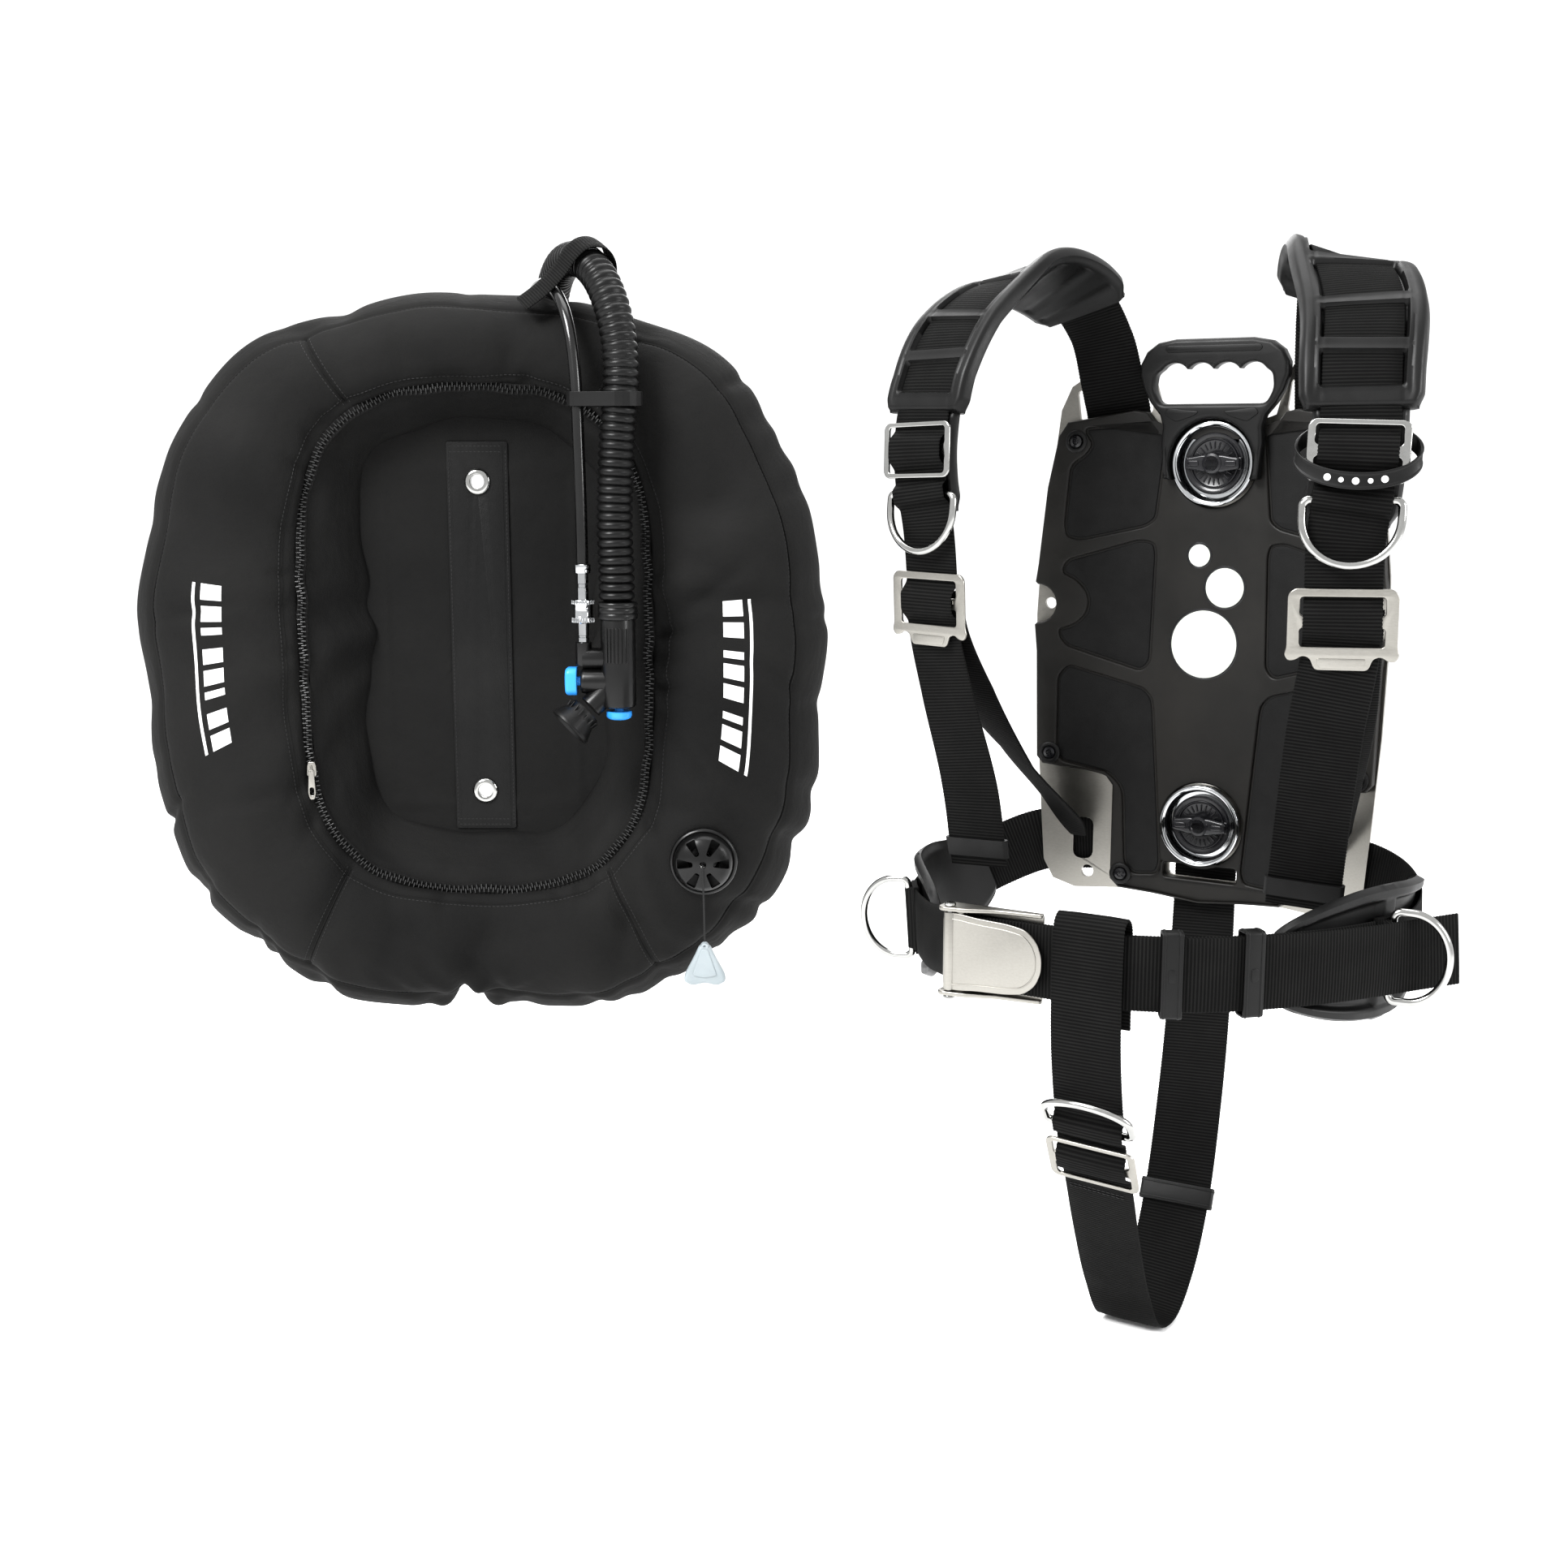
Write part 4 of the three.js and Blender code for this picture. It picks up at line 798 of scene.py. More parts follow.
def hose_fitting():
    """The crimped sleeve, hexagon and thread at the supply hose's far end."""
    sleeve = [(4.6, 3.6), (5.6, 3.6), (6.5, 3.2), (6.5, -4.6), (6.1, -5), (6.5, -5.4), (6.5, -8),
              (5.8, -9), (4.6, -9)]
    thread = [(2.6, -23)]
    for k in range(12):
        thread += [(4.3, -23 - 0.75 * k), (4.7, -23.37 - 0.75 * k)]
    thread += [(2.6, -32.3)]
    collar = [(2.6, -9), (8, -9), (8, -10), (6.2, -10.5), (6.2, -13), (2.6, -13)]
    bodies = [turned(sleeve, 48), turned(collar, 48), hexagon(8, 9, -22), turned(thread, 40)]
    place = shift(32, 89, 77.6)
    return [moved(body, place) for body in bodies]


def pull_knob():
    """A soft grip, wider at its foot, with a waist and two finger hollows."""
    outline = smooth_loop(
        [(-4.5, 0), (4.5, 0), (9, -10), (18, -27), (18.5, -33), (11, -37), (5, -35.5), (0, -34.5),
         (-5, -35.5), (-11, -37), (-18.5, -33), (-18, -27), (-9, -10)], 3.5, 5)
    grip = plate(outline, 10, 3.2, steps=6)
    rib = smooth_loop([(-3, -3), (3, -3), (11, -27), (0, -29), (-11, -27)], 2.5, 4)
    front = moved(plate(rib, 2.2, 1.0, steps=4), shift(0, 0, 9.0))
    collar = moved(turned([(1.2, 0), (3.6, 0), (3.0, 5), (1.2, 5)], 24), shift(0, -1, 5))
    place = VALVE_PLACE @ shift(1.3, -92.5, -70.5) @ turn("X", 90) @ shift(0, 0, -5)
    return piece("dump_pull_grip", [grip, front, collar], place, "pull", "dump_pull",
                 "dump_pull_knob")


cords()


# ---- Plate, cover and handle ----
def fold_back(body, front):
    """Bends a flat body of X and Z round the plate's two folds; Y is measured from the plate."""
    verts, faces, _ = body
    mesh = bpy.data.meshes.new("fold")
    mesh.from_pydata(verts, [], faces)
    made = bmesh.new()
    made.from_mesh(mesh)
    for x in (-110, -80, -50, -45, -40, -35, -30, 30, 35, 40, 45, 50, 80, 110):
        parts = made.verts[:] + made.edges[:] + made.faces[:]
        bmesh.ops.bisect_plane(made, geom=parts, plane_co=(x, 0, 0), plane_no=(1, 0, 0))
    made.verts.index_update()
    verts = np.array([v.co[:] for v in made.verts])
    faces = [tuple(v.index for v in f.verts) for f in made.faces]
    made.free()
    reach = np.abs(verts[:, 0]) - PLATE_FLAT
    soft = 5.0
    drop = np.where(reach > soft, reach, np.maximum(reach + soft, 0) ** 2 / (4 * soft))
    y = front - verts[:, 2] - PLATE_FOLD * drop
    x, z = verts[:, 0], verts[:, 1]
    return np.column_stack([x, y, z]), faces, np.column_stack([x, z, y])


def mirrored(half):
    """The other side of a half outline, in reverse and without the points on its middle line."""
    return [(-x, z) for x, z in reversed(half) if x]


def arc(x, z, radius, degrees):
    """Points of a circle about (x, z) at angles in degrees."""
    angles = [math.radians(a) for a in degrees]
    return [(x + radius * math.cos(a), z + radius * math.sin(a)) for a in angles]


# Recessed panels on one side of the cover, in X and Z.
COVER_PANELS = [
    [(-104, 166), (-46, 170), (-38, 164), (-45, 97), (-53, 91), (-104, 79.5), (-115, 82),
     (-117, 91), (-113, 138), (-101, 146), (-96, 154)],
    [(-118.5, 54), (-114, 64), (-57, 81), (-46, 79), (-44, 71), (-46, -14), (-53, -21.5),
     (-113, -4), (-119, 4), (-119, 9), (-107, 13), (-98, 22), (-96, 31), (-99, 41), (-107, 49)],
    [(-119, -28), (-111, -19), (-51, -34.5), (-44, -42), (-42.5, -50), (-33, -174), (-36, -183),
     (-55, -184.5), (-62, -176), (-65, -117), (-75, -105), (-119, -96)],
]


def screw(radius):
    """A domed screw head with a six-armed socket."""
    head = turned([(0, 0), (radius, 0), (radius, 1.2), (radius * 0.9, 2.1), (radius * 0.5, 2.6),
                   (radius * 0.42, 1.4), (0, 1.4)], 40)
    arms = []
    for k in range(3):
        arm = plate(rounded(radius * 0.95, radius * 0.2, 0.2, 2), 0.8, 0.15)
        arms.append(moved(arm, turn("Z", 60 * k) @ shift(0, 0, 1.2)))
    return [head, *arms]


def on_cover(x, z):
    """The matrix of a piece made in X, Y and Z (out) that lies on the cover's front."""
    side = math.copysign(1, x)
    reach = max(0.0, abs(x) - PLATE_FLAT)
    tilt = math.atan(PLATE_FOLD) * (side if reach > 0 else 0)
    across = (math.cos(tilt), -math.sin(tilt), 0)
    out = (-math.sin(tilt), -math.cos(tilt), 0)
    y = BACK_GAP - COVER_T - PLATE_FOLD * reach
    return basis(np.array(across), np.array((0, 0, 1.0)), np.array(out), np.array((x, y, z)))


def cover():
    notch = arc(137, 29, 15, range(-90, -271, -15))
    half = [
        (0, -203), (30, -200), (66, -197), (73, -190), (73, -114), (80, -105), (130, -100),
        (135, -94), (137, -9), (139, 12), *notch, (139, 46), (137, 60), (131, 120), (123, 160),
        (116, 171), (64, 180), (54, 178), (42, 163), (36, 160), (0, 160),
    ]
    outline = np.array([*half, *mirrored(half)])
    bolt_holes = [circle(BEZEL_R + 0.6, 96) + (0, end * HOLE_PITCH / 2) for end in (-1, 1)]
    slot = rounded(60, 12, 3, 4) + (0, -178)
    base = plate(outline, 5.6, 1.6, [*bolt_holes, slot], 5, 0.5)
    panels = [smooth_loop(p, 9, 6) for p in COVER_PANELS]
    panels += [smooth_loop([(-x, z) for x, z in p][::-1], 9, 6) for p in COVER_PANELS]
    raised = plate(inset(ccw(outline), 0.2), 3.0, 1.7, [*bolt_holes, slot, *panels], 6, 0.1)
    raised = moved(raised, shift(0, 0, COVER_T - 3.0))
    bodies = [fold_back(base, BACK_GAP), fold_back(raised, BACK_GAP)]
    made = piece("back_cover", bodies, HARNESS, "band", "harness", "back_pad", 30)
    fields = []
    for p in panels:
        field = plate(inset(ccw(p), 1.4), 1.3, 0.9, steps=4, low=0.1)
        fields.append(fold_back(moved(field, shift(0, 0, 5.0)), BACK_GAP))
    piece("cover_panels", fields, HARNESS, "panel", "harness", (), 30)

    bosses, screws = [], []
    for side in (-1, 1):
        for x, z in ((-108.6, 156.0), (-64.1, -185.1), (-124, -90.5)):
            place = on_cover(side * x, z)
            ring = [(5.2, -0.6), (8.8, -0.6), (8.6, 0.9), (7.6, 1.7), (6.2, 1.7), (5.2, 0.6)]
            bosses.append(moved(turned(ring, 48), place))
            for body in screw(5.0):
                screws.append(moved(body, place @ shift(0, 0, -0.8)))
    piece("cover_bosses", bosses, HARNESS, "rubber", "harness")
    piece("cover_screws", screws, HARNESS, "knob", "harness", (), 40, True)

    emblem, rims = [], []
    for x, z, r in ((-3, 0, 26), (12, 44, 15), (-9, 68, 8.5)):
        place = on_cover(0, 30) @ shift(x, z - 28, 0)
        disc = [(0, -1), (r, -1), (r, 0.3), (r - 0.7, 0.8), (0, 0.9)]
        rim = [(r + 0.2, -1), (r + 1.6, -1), (r + 1.6, 0.25), (r + 0.9, 0.45), (r + 0.2, 0.2)]
        emblem.append(moved(turned(disc, 72), place))
        rims.append(moved(turned(rim, 72), place))
    piece("bubble_emblem", emblem, HARNESS, "white", "harness", (), 40, True)
    piece("bubble_rims", rims, HARNESS, "knob", "harness")


def handle():
    half = [
        (0, 232), (30, 232), (44, 229.5), (53, 223), (57.5, 214), (57.5, 205), (54, 194), (49, 185),
        (41, 175.5), (38.5, 167), (39.5, 155), (37, 128),
    ]
    rim = arc(0, HOLE_PITCH / 2, BEZEL_R + 1, range(-22, 203, 7))
    outline = np.array([*half, *rim, *mirrored(half)])
    grip = [(-41, 184), (41, 184), (46.5, 195), (45, 206)]
    for k in range(4):
        centre = 30.5 - 20.3 * k
        for a in np.radians(np.arange(-60, 61, 15)):
            x = centre - 9.6 * math.sin(a) / math.sin(math.radians(60))
            grip.append((x, 209.5 + 4.8 * (math.cos(a) - 0.5) / 0.5))
    grip += [(-45, 206), (-46.5, 195)]
    grip = smooth_loop(grip, 4.5, 4)
    body = plate(outline, 11, 3.4, [grip], 6, 1.5)
    place = HARNESS @ shift(0, BACK_GAP - COVER_T - 0.35, 0) @ turn("X", 90)
    ridge = smooth_loop([(-36, 222), (36, 222), (38, 224.5), (36, 227), (-36, 227), (-38, 224.5)], 2, 3)
    rib = moved(plate(ridge, 0.9, 0.5), shift(0, 0, 10.7))
    lobes = []
    for side in (-1, 1):
        lobe = smooth_loop([(side * 9, 178.2), (side * 34, 181), (side * 37, 177),
                            (side * 28, 170.5), (side * 14, 174.8)], 3, 4)
        lobes.append(moved(plate(lobe, 1.0, 0.6), shift(0, 0, 10.7)))
    piece("handle_grip", [body, rib, *lobes], place, "rubber", "harness", "carry_handle", 35)


def bezel(name, height):
    profile = [
        (17, -3.4), (28.5, -3.4), (30.6, -7.5), (31.4, -12.5), (32.0, -14.2), (32.3, -15.4),
        (31.8, -16.6), (30.6, -17.1), (29.2, -16.6), (27.6, -14.9), (26.6, -12), (26.0, -6.2),
        (17, -6.2),
    ]
    body = moved(turned([(r, -y) for r, y in profile], 128), turn("X", 90))
    piece(f"{name}_bezel_ring", body, HARNESS @ shift(0, 0, height), "chrome", "harness",
          f"{name}_bezel", 50)


def knob(name, height):
    """A thumb knob: dished disc, ribbed ring, and a bar with a round hub and two winged ends."""
    disc = turned([(0, 6.7), (23.4, 6.7), (23.4, 11.0), (22.6, 11.9), (20.5, 11.9), (19.5, 11.2),
                   (0, 11.2)], 96)
    ring = turned([(17.2, 11.0), (17.9, 12.0), (18.8, 12.0), (19.4, 11.0)], 96)
    bodies = [disc, ring]
    for k in range(24):
        rib = plate(rounded(1.1, 5.2, 0.4, 2), 1.0, 0.3)
        bodies.append(moved(rib, turn("Z", 15 * k) @ shift(0, 13.6, 11.0)))
    wing = smooth_loop([(-21.5, -4.2), (-14, -5.2), (-8, -6.4), (8, -6.4), (14, -5.2), (21.5, -4.2),
                        (21.5, 4.2), (14, 5.2), (8, 6.4), (-8, 6.4), (-14, 5.2),
                        (-21.5, 4.2)], 2.5, 4)
    bodies.append(moved(plate(wing, 6.6, 1.6, steps=5), shift(0, 0, 11.0)))
    hub = turned([(0, 11), (8.2, 11), (8.2, 16.8), (7.4, 18.0), (5.6, 18.4), (5.0, 17.6),
                  (0, 17.6)], 64)
    bodies.append(hub)
    for side in (-1, 1):
        grip = plate(rounded(9, 4.2, 1.6, 4), 1.4, 0.6, steps=3)
        bodies.append(moved(grip, shift(side * 14.6, 0, 17.0)))
        tab = plate(rounded(3.4, 9.6, 1.2, 3), 3.4, 0.8, steps=3)
        bodies.append(moved(tab, shift(side * 20.6, 0, 11.0)))
    stud = moved(rod(4, 31.5, 32, 0.6), shift(0, 0, -23.9))
    thread = [turned([(3.6, z), (4.05, z + 0.5), (3.6, z + 1)], 32) for z in range(-22, -2)]
    place = HARNESS @ shift(0, 0, height) @ turn("X", 90)
    piece(f"{name}_thumb_knob", bodies, place, "knob", f"{name}_knob", f"{name}_knob", 40, True)
    piece(f"{name}_knob_stud", [stud, *thread], place, "bright", f"{name}_knob", (), 40, True)


restyle("steel", "backplate", bevel=0.5)
cover()
handle()
for end, level in BOLTS:
    bezel(end, level)
    knob(end, level)


# ---- Shoulder straps ----
def mirror_strap(points):
    return [(-p[0], p[1], p[2], p[3], -p[4], -p[5], *p[6:]) for p in points]


SHOULDER = [
    (80, -4.4, 158, -1, 0.158, 0.1), (81, -4.6, 177, -1, 0.158, 0.1), (82, -9, 189, -1, 0.158, 0.1),
    (83.5, -14.2, 202, -1, 0.1, 0.1), (88, -28, 236, -1, 0, 0.12), (99, -62, 268, -0.95, 0.1, 0.25),
    (121, -105, 277, -0.9, 0.1, 0.3), (146, -150, 247, -0.95, -0.1, 0.2),
    (155, -178, 203, -0.966, -0.259, 0.1), (158, -187, 160, -0.966, -0.259, 0),
    (157, -188, 130, -0.966, -0.259, 0), (152, -185, 92, -0.966, -0.259, 0),
    (151, -181, 60, -0.966, -0.259, 0), (150, -178, 20, -0.966, -0.259, 0),
]
TAILS = {
    "left": [(142, -176, -33, -0.97, -0.25, 0), (131, -160, -105, -0.98, -0.2, 0),
             (122, -143, -163, -0.98, -0.2, 0)],
    "right": [(-143, -168, -30, -0.97, 0.2, 0), (-131, -153, -100, -0.98, 0.1, 0),
              (-126, -144, -162, -0.98, 0.1, 0)],
}
LOWER = [
    (150, -171.2, 48, -0.966, -0.259, 0), (149, -169, 26, -0.966, -0.259, 0),
    (140, -138, -25, -0.9, -0.4, 0.1), (122, -90, -85, -0.8, -0.55, -0.2, 1),
    (104, -42, -132, -0.85, -0.3, -0.3, 0.9), (98, -21, -156, -0.9, 0, -0.2, 0.3),
]


def weave(s):
    """Lifts of webbing that runs over a slider's middle bar at a station."""
    return [(s - 16, 0), (s - 4.6, WEAVE), (s + 4.6, WEAVE), (s + 16, 0)]


def over(s, lift):
    """Lifts of webbing that runs over a D-ring's straight side at a station."""
    return [(s - 9.5, 0), (s - 3.5, lift), (s + 3.5, lift), (s + 11, 0)]


def d_ring(drop):
    """A ring of round bar about its straight side, which lies on X; it hangs along +Y."""
    half = RING_HALF
    path = [(-half + 3, 0), (half - 3, 0), (half, 3), (half, 12)]
    for i in range(1, 24):
        a = math.pi * i / 24
        path.append((half * math.cos(a), 12 + (drop - 12) * math.sin(a)))
    path += [(-half, 12), (-half, 3)]
    path = smooth_loop(path, 2.2, 3)
    at = np.column_stack([path, np.zeros(len(path))])
    along = unit(np.roll(at, -1, 0) - np.roll(at, 1, 0))
    up = np.tile([0.0, 0.0, 1.0], (len(at), 1))
    return sweep(circle(RING_WIRE, 20), at, up, np.cross(up, along), closed=True)


def slider(outline=None, bevel=0.9):
    """A three-bar slider about its middle bar, plain or with an outline of its own."""
    thick, near, far = 2.4, 4.0, 16.5
    outline = rounded(64, 40, 6, 6) if outline is None else outline
    hole = rounded(SLIDER_SLOT, far - near, 2.4, 4)
    middle = (near + far) / 2
    body = plate(outline, thick, bevel, [hole + (0, middle), hole - (0, middle)], 4)
    return moved(body, shift(0, 0, -thick / 2))


def buckle_outline():
    return smooth_loop([
        (-31, -22), (31, -22), (35, -18), (35, 17), (36.5, 22), (34, 26), (29, 25.5), (25, 22.5),
        (20, 24), (17, 32), (-17, 32), (-20, 24), (-25, 22.5), (-29, 25.5), (-34, 26), (-36.5, 22),
        (-35, 17), (-35, -18),
    ], 3, 4)


def grips(bar_y):
    """Small teeth along a buckle's bar, which hold the webbing."""
    teeth = []
    for k in range(13):
        tooth = plate(rounded(2.2, 3.0, 0.6, 2), 1.0, 0.4)
        teeth.append(moved(tooth, shift(-SLIDER_SLOT / 2 + 3 + 4 * k, bar_y, 1.0)))
    return teeth


# Windows of a shoulder pad, as shares of its length, with the half-width at both ends.
PAD_WINDOWS = ((0.035, 0.125, 19, 25), (0.165, 0.365, 27, 27.5), (0.425, 0.60, 27.5, 27),
               (0.655, 0.77, 27, 26.5), (0.83, 0.925, 26, 25.5))


def pad_top(x, t, edge):
    """Rolled rims along both sides, and crossbars between windows that show the webbing."""
    wide = np.abs(x)
    rim = 3.9 * np.sqrt(np.clip(1 - ((wide - 32.5) / 7.8) ** 2, 0.0, 1))
    height = np.where(wide > 25, np.maximum(rim, -5.5 * ease((edge - 0.9) / 0.1)), 3.4)
    height = np.where(wide < 32.5, np.maximum(height, 2.9 + 0.6 * ease((wide - 22) / 8)), height)
    height = np.where(edge > 0.93, -5.2 + 8 * np.sqrt(np.clip((1 - edge) / 0.07, 0, 1)), height)
    for start, end, first, last in PAD_WINDOWS:
        half = first + (last - first) * np.clip((t - start) / (end - start), 0, 1)
        inside = window(t, start - 0.012, end + 0.012, 0.012) * ease((half + 1.2 - wide) / 2.0)
        lip = window(t, start - 0.024, end + 0.024, 0.01) * ease((half + 4 - wide) / 2.0) * (1 - inside)
        height = height + 0.45 * lip - (height + 2.4) * inside
    groove = ease(1 - np.abs(wide - 30.2) / 1.2) * window(t, 0.02, 0.97, 0.02)
    height = height - 0.7 * groove * (edge < 0.93)
    ends = np.minimum(ease(t / 0.012), ease((1 - t) / 0.012))
    return height * ends + (1 - ends) * -2.0


def pad_bottom(x, t, edge):
    crown = -8.6 - 1.0 * np.cos(math.pi * x / 80)
    channel = 1.2 * np.abs(np.sin(math.pi * t * 9)) ** 6 * (edge < 0.8)
    return (crown + channel) * (1 - ease((edge - 0.88) / 0.12)) - 5.6 * ease((edge - 0.88) / 0.12)


def pad_half(t):
    return 38.5 + 2.2 * np.sin(math.pi * t) - 5 * ease((0.05 - t) / 0.05) - 3 * ease((t - 0.95) / 0.05)


def tongue_top(x, t, edge):
    """The pad's narrow end below the slider: two edge rolls and soft cross grooves."""
    roll = 1.6 * window(np.abs(x), 22, 29.5, 2.5)
    grooves = 0.5 * np.cos(TAU * t * 5)
    height = -2.3 + roll * window(t, 0.0, 1.05, 0.06) + grooves * (np.abs(x) < 21) * 0.4 - 0.4
    return np.where(edge > 0.93, -6.2 + 4 * np.sqrt(np.clip((1 - edge) / 0.07, 0, 1)), height)


def cross_stitches(strap, s, half, count, side=1, flat=False):
    """A row of stitches across webbing, on its outer face or, with side -1, on its inner one."""
    at, across, _, out, _ = (v[0] for v in strap.frames([s], flat))
    out = out * side
    line = at + across * np.linspace(-half, half, count)[:, None] + out * 1.45
    return stitches(line, np.tile(out, (count, 1)), 3.4, 2.6, 0.4)


def shoulder(side):
    sign = 1 if side == "left" else -1
    route = SHOULDER if side == "left" else mirror_strap(SHOULDER)
    points = route + TAILS[side]
    probe = Strap(points)
    slider_at = probe.near(158 * sign, -188, 150)
    ring_at = slider_at + RING_BELOW
    buckle_at = probe.near(151 * sign, -180, 40)
    strap = Strap(points, [*weave(slider_at), *over(ring_at, RING_LIFT), *weave(buckle_at)])
    piece(f"shoulder_webbing_{side}", ribbon(strap), HARNESS, "webbing", "harness",
          f"shoulder_strap_{side}", 50)
    pad_start = strap.near(93 * sign, -45, 258)
    upper = skin(strap, pad_start, slider_at - 27, pad_half, pad_top, pad_bottom)
    tongue = skin(strap, slider_at - 29, slider_at + 47, lambda t: 30 - 4 * ease((t - 0.85) / 0.15),
                  tongue_top, lambda x, t, edge: np.full(x.shape, -6.6))
    made = piece(f"shoulder_cushion_{side}", [upper, tongue], HARNESS, "rubber", "harness",
                 f"shoulder_pad_{side}", 50)
    seat = HARNESS @ strap.place(slider_at, FRAME_LIFT)
    piece(f"shoulder_adjuster_{side}", slider(), seat, "bright", "harness",
          f"shoulder_slider_{side}")

    at, across, along, out, _ = (v[0] for v in strap.frames([ring_at], flat=True))
    across[2] = 0
    across = unit(across)
    along = unit(np.array((0, 0, -1)) + out * 0.09)
    out = np.cross(across, along)
    place = HARNESS @ basis(across, along, out, at + out * 0.4)
    piece(f"shoulder_ring_steel_{side}", d_ring(42), place, "bright", f"shoulder_ring_{side}",
          f"shoulder_d_ring_{side}", 60)

    bodies = [slider(buckle_outline(), 0.8), *grips(-1.5)]
    lip = plate(smooth_loop([(-16, 24), (16, 24), (14, 30.5), (-14, 30.5)], 2, 3), 0.5, 0.25)
    bodies.append(moved(lip, shift(0, 0, 1.1)))
    seat = HARNESS @ strap.place(buckle_at, FRAME_LIFT)
    piece(f"strap_clamp_{side}", bodies, seat, "steel", "harness", f"strap_buckle_{side}")

    lower = Strap(LOWER if side == "left" else mirror_strap(LOWER))
    piece(f"lower_webbing_{side}", ribbon(lower), HARNESS, "webbing", "harness",
          f"lower_strap_{side}", 50)
    end = strap.length - 13
    tab = skin(strap, end - 9, end + 5, lambda t: 27 + 0 * t,
               lambda x, t, e: 2.6 - 1.6 * ease((e - 0.93) / 0.07),
               lambda x, t, e: -2.6 + 1.6 * ease((e - 0.93) / 0.07))
    piece(f"tail_keeper_{side}", tab, HARNESS, "keeper", "harness")
    rows = [cross_stitches(strap, s, 20, 20, -1, True) for s in (6, 12, 18)]
    piece(f"shoulder_stitching_{side}", rows, HARNESS, "thread", "harness")
    return strap, slider_at


def retainer_band(strap, slider_at):
    """A stretched rubber band round the shoulder strap, with a plain raised bead on both edges."""
    steps, wide, drop, deep = 160, 38.5, 17, 12
    a = TAU * np.arange(steps) / steps
    at = np.column_stack([wide * np.cos(a), drop * np.sin(a), deep * np.sin(a)])
    out = unit(np.column_stack([deep * np.cos(a), 0 * a, wide * np.sin(a)]))
    across = np.tile([0.0, 1.0, 0.0], (steps, 1))
    section = smooth_loop([(-5.5, -0.9), (5.5, -0.9), (5.5, 1.3), (4.0, 1.3), (3.4, 0.8),
                           (-3.4, 0.8), (-4.0, 1.3), (-5.5, 1.3)], 0.5, 2)
    body = sweep(section, at, across, out, closed=True)
    marks = []
    for i in (-2, -1, 0, 1, 2):
        k = int(round(40 + 6.2 * i))
        seat = basis(unit(np.cross(across[k], out[k])), across[k], out[k], at[k] + out[k] * 0.75)
        marks.append(moved(plate(circle(1.7 if i % 2 else 2.3, 32), 0.5, 0.2), seat))
    place = HARNESS @ strap.place(slider_at + 2)
    piece("hose_retainer_ring", body, place, "rubber", "harness", "hose_retainer_band", 60)
    piece("retainer_dots", marks, place, "print", "harness")


left_strap, left_slider = shoulder("left")
shoulder("right")
retainer_band(left_strap, left_slider)


# ---- Waist belt ----
BELT_Y, BELT_Z = -288, -186          # the inner layer across the front
BELT_LEFT = [
    (70, -2.8, -160, 0, 0, 1), (100, -7.6, -161, 0, 0, 1), (133, -12.6, -164, 0, 0, 1),
    (163, -32, -171, 0.05, 0, 1), (186, -75, -180, 0.1, 0, 1), (190, -120, BELT_Z, 0.06, 0, 1),
    (172, -175, BELT_Z, 0, 0, 1), (140, -222, BELT_Z, 0, 0, 1), (98, -262, BELT_Z, 0, 0, 1),
    (56, -284, BELT_Z, 0, 0, 1), (28, BELT_Y, BELT_Z, 0, 0, 1), (-20, BELT_Y, BELT_Z, 0, 0, 1),
    (-64, BELT_Y, BELT_Z, 0, 0, 1),
]
BELT_TAIL = [
    (-20, BELT_Y - LAYER, BELT_Z, 0, 0, 1), (28, BELT_Y - LAYER, BELT_Z, 0, 0, 1),
    (57, BELT_Y, BELT_Z, 0, 0, 1), (100.3, -265.5, BELT_Z, 0, 0, 1), (143, -225, BELT_Z, 0, 0, 1),
    (178.5, -179, BELT_Z, 0, 0, 1), (194, -154, BELT_Z, 0, 0, 1), (207, -138, BELT_Z + 1, 0, 0, 1),
    (224, -121, BELT_Z + 3, 0, 0, 1),
]
BELT_RIGHT = [
    (-70, -2.8, -160, 0, 0, -1), (-100, -7.6, -161, 0, 0, -1), (-133, -12.6, -165, 0, 0, -1),
    (-165, -34, -180, 0.1, 0, -1), (-189, -80, -200, 0.15, 0, -1), (-184, -135, -208, 0.1, 0, -1),
    (-150, -185, -208, 0, 0, -1), (-112, -232, -199, 0, 0, -1), (-88, -264, -190, 0, 0, -1),
    (-74, -280.8, -187, 0, 0, -1), (-48, -282, BELT_Z, 0, 0, -1),
]
FOLD_X = -64


def folded_belt(inner, tail):
    """One length of webbing: in along the inner layer, round the buckle's bar, back as the tail."""
    at, _, along, _, _ = inner.frames(np.arange(0, inner.length, WEB_STEP), flat=True)
    a = np.radians(np.arange(7.5, 180, 7.5))[:, None]
    radius = LAYER / 2
    bend = np.hstack([FOLD_X - radius * np.sin(a), BELT_Y - radius * (1 - np.cos(a)), 0 * a + BELT_Z])
    x = np.arange(FOLD_X, BELT_TAIL[0][0], WEB_STEP)
    straight = np.column_stack([x, 0 * x + BELT_Y - LAYER, 0 * x + BELT_Z])
    at2, _, along2, _, _ = tail.frames(np.arange(0, tail.length, WEB_STEP), flat=True)
    bend_along = np.hstack([-np.cos(a), -np.sin(a), 0 * a])
    at = np.concatenate([at, bend, straight, at2])
    along = np.concatenate([along, bend_along, np.tile([1.0, 0, 0], (len(x), 1)), along2])
    across = square(np.tile([0.0, 0.0, 1.0], (len(at), 1)), along)
    s = run(at)
    return sweep(web_section(s), at, across, np.cross(across, along), along=s)


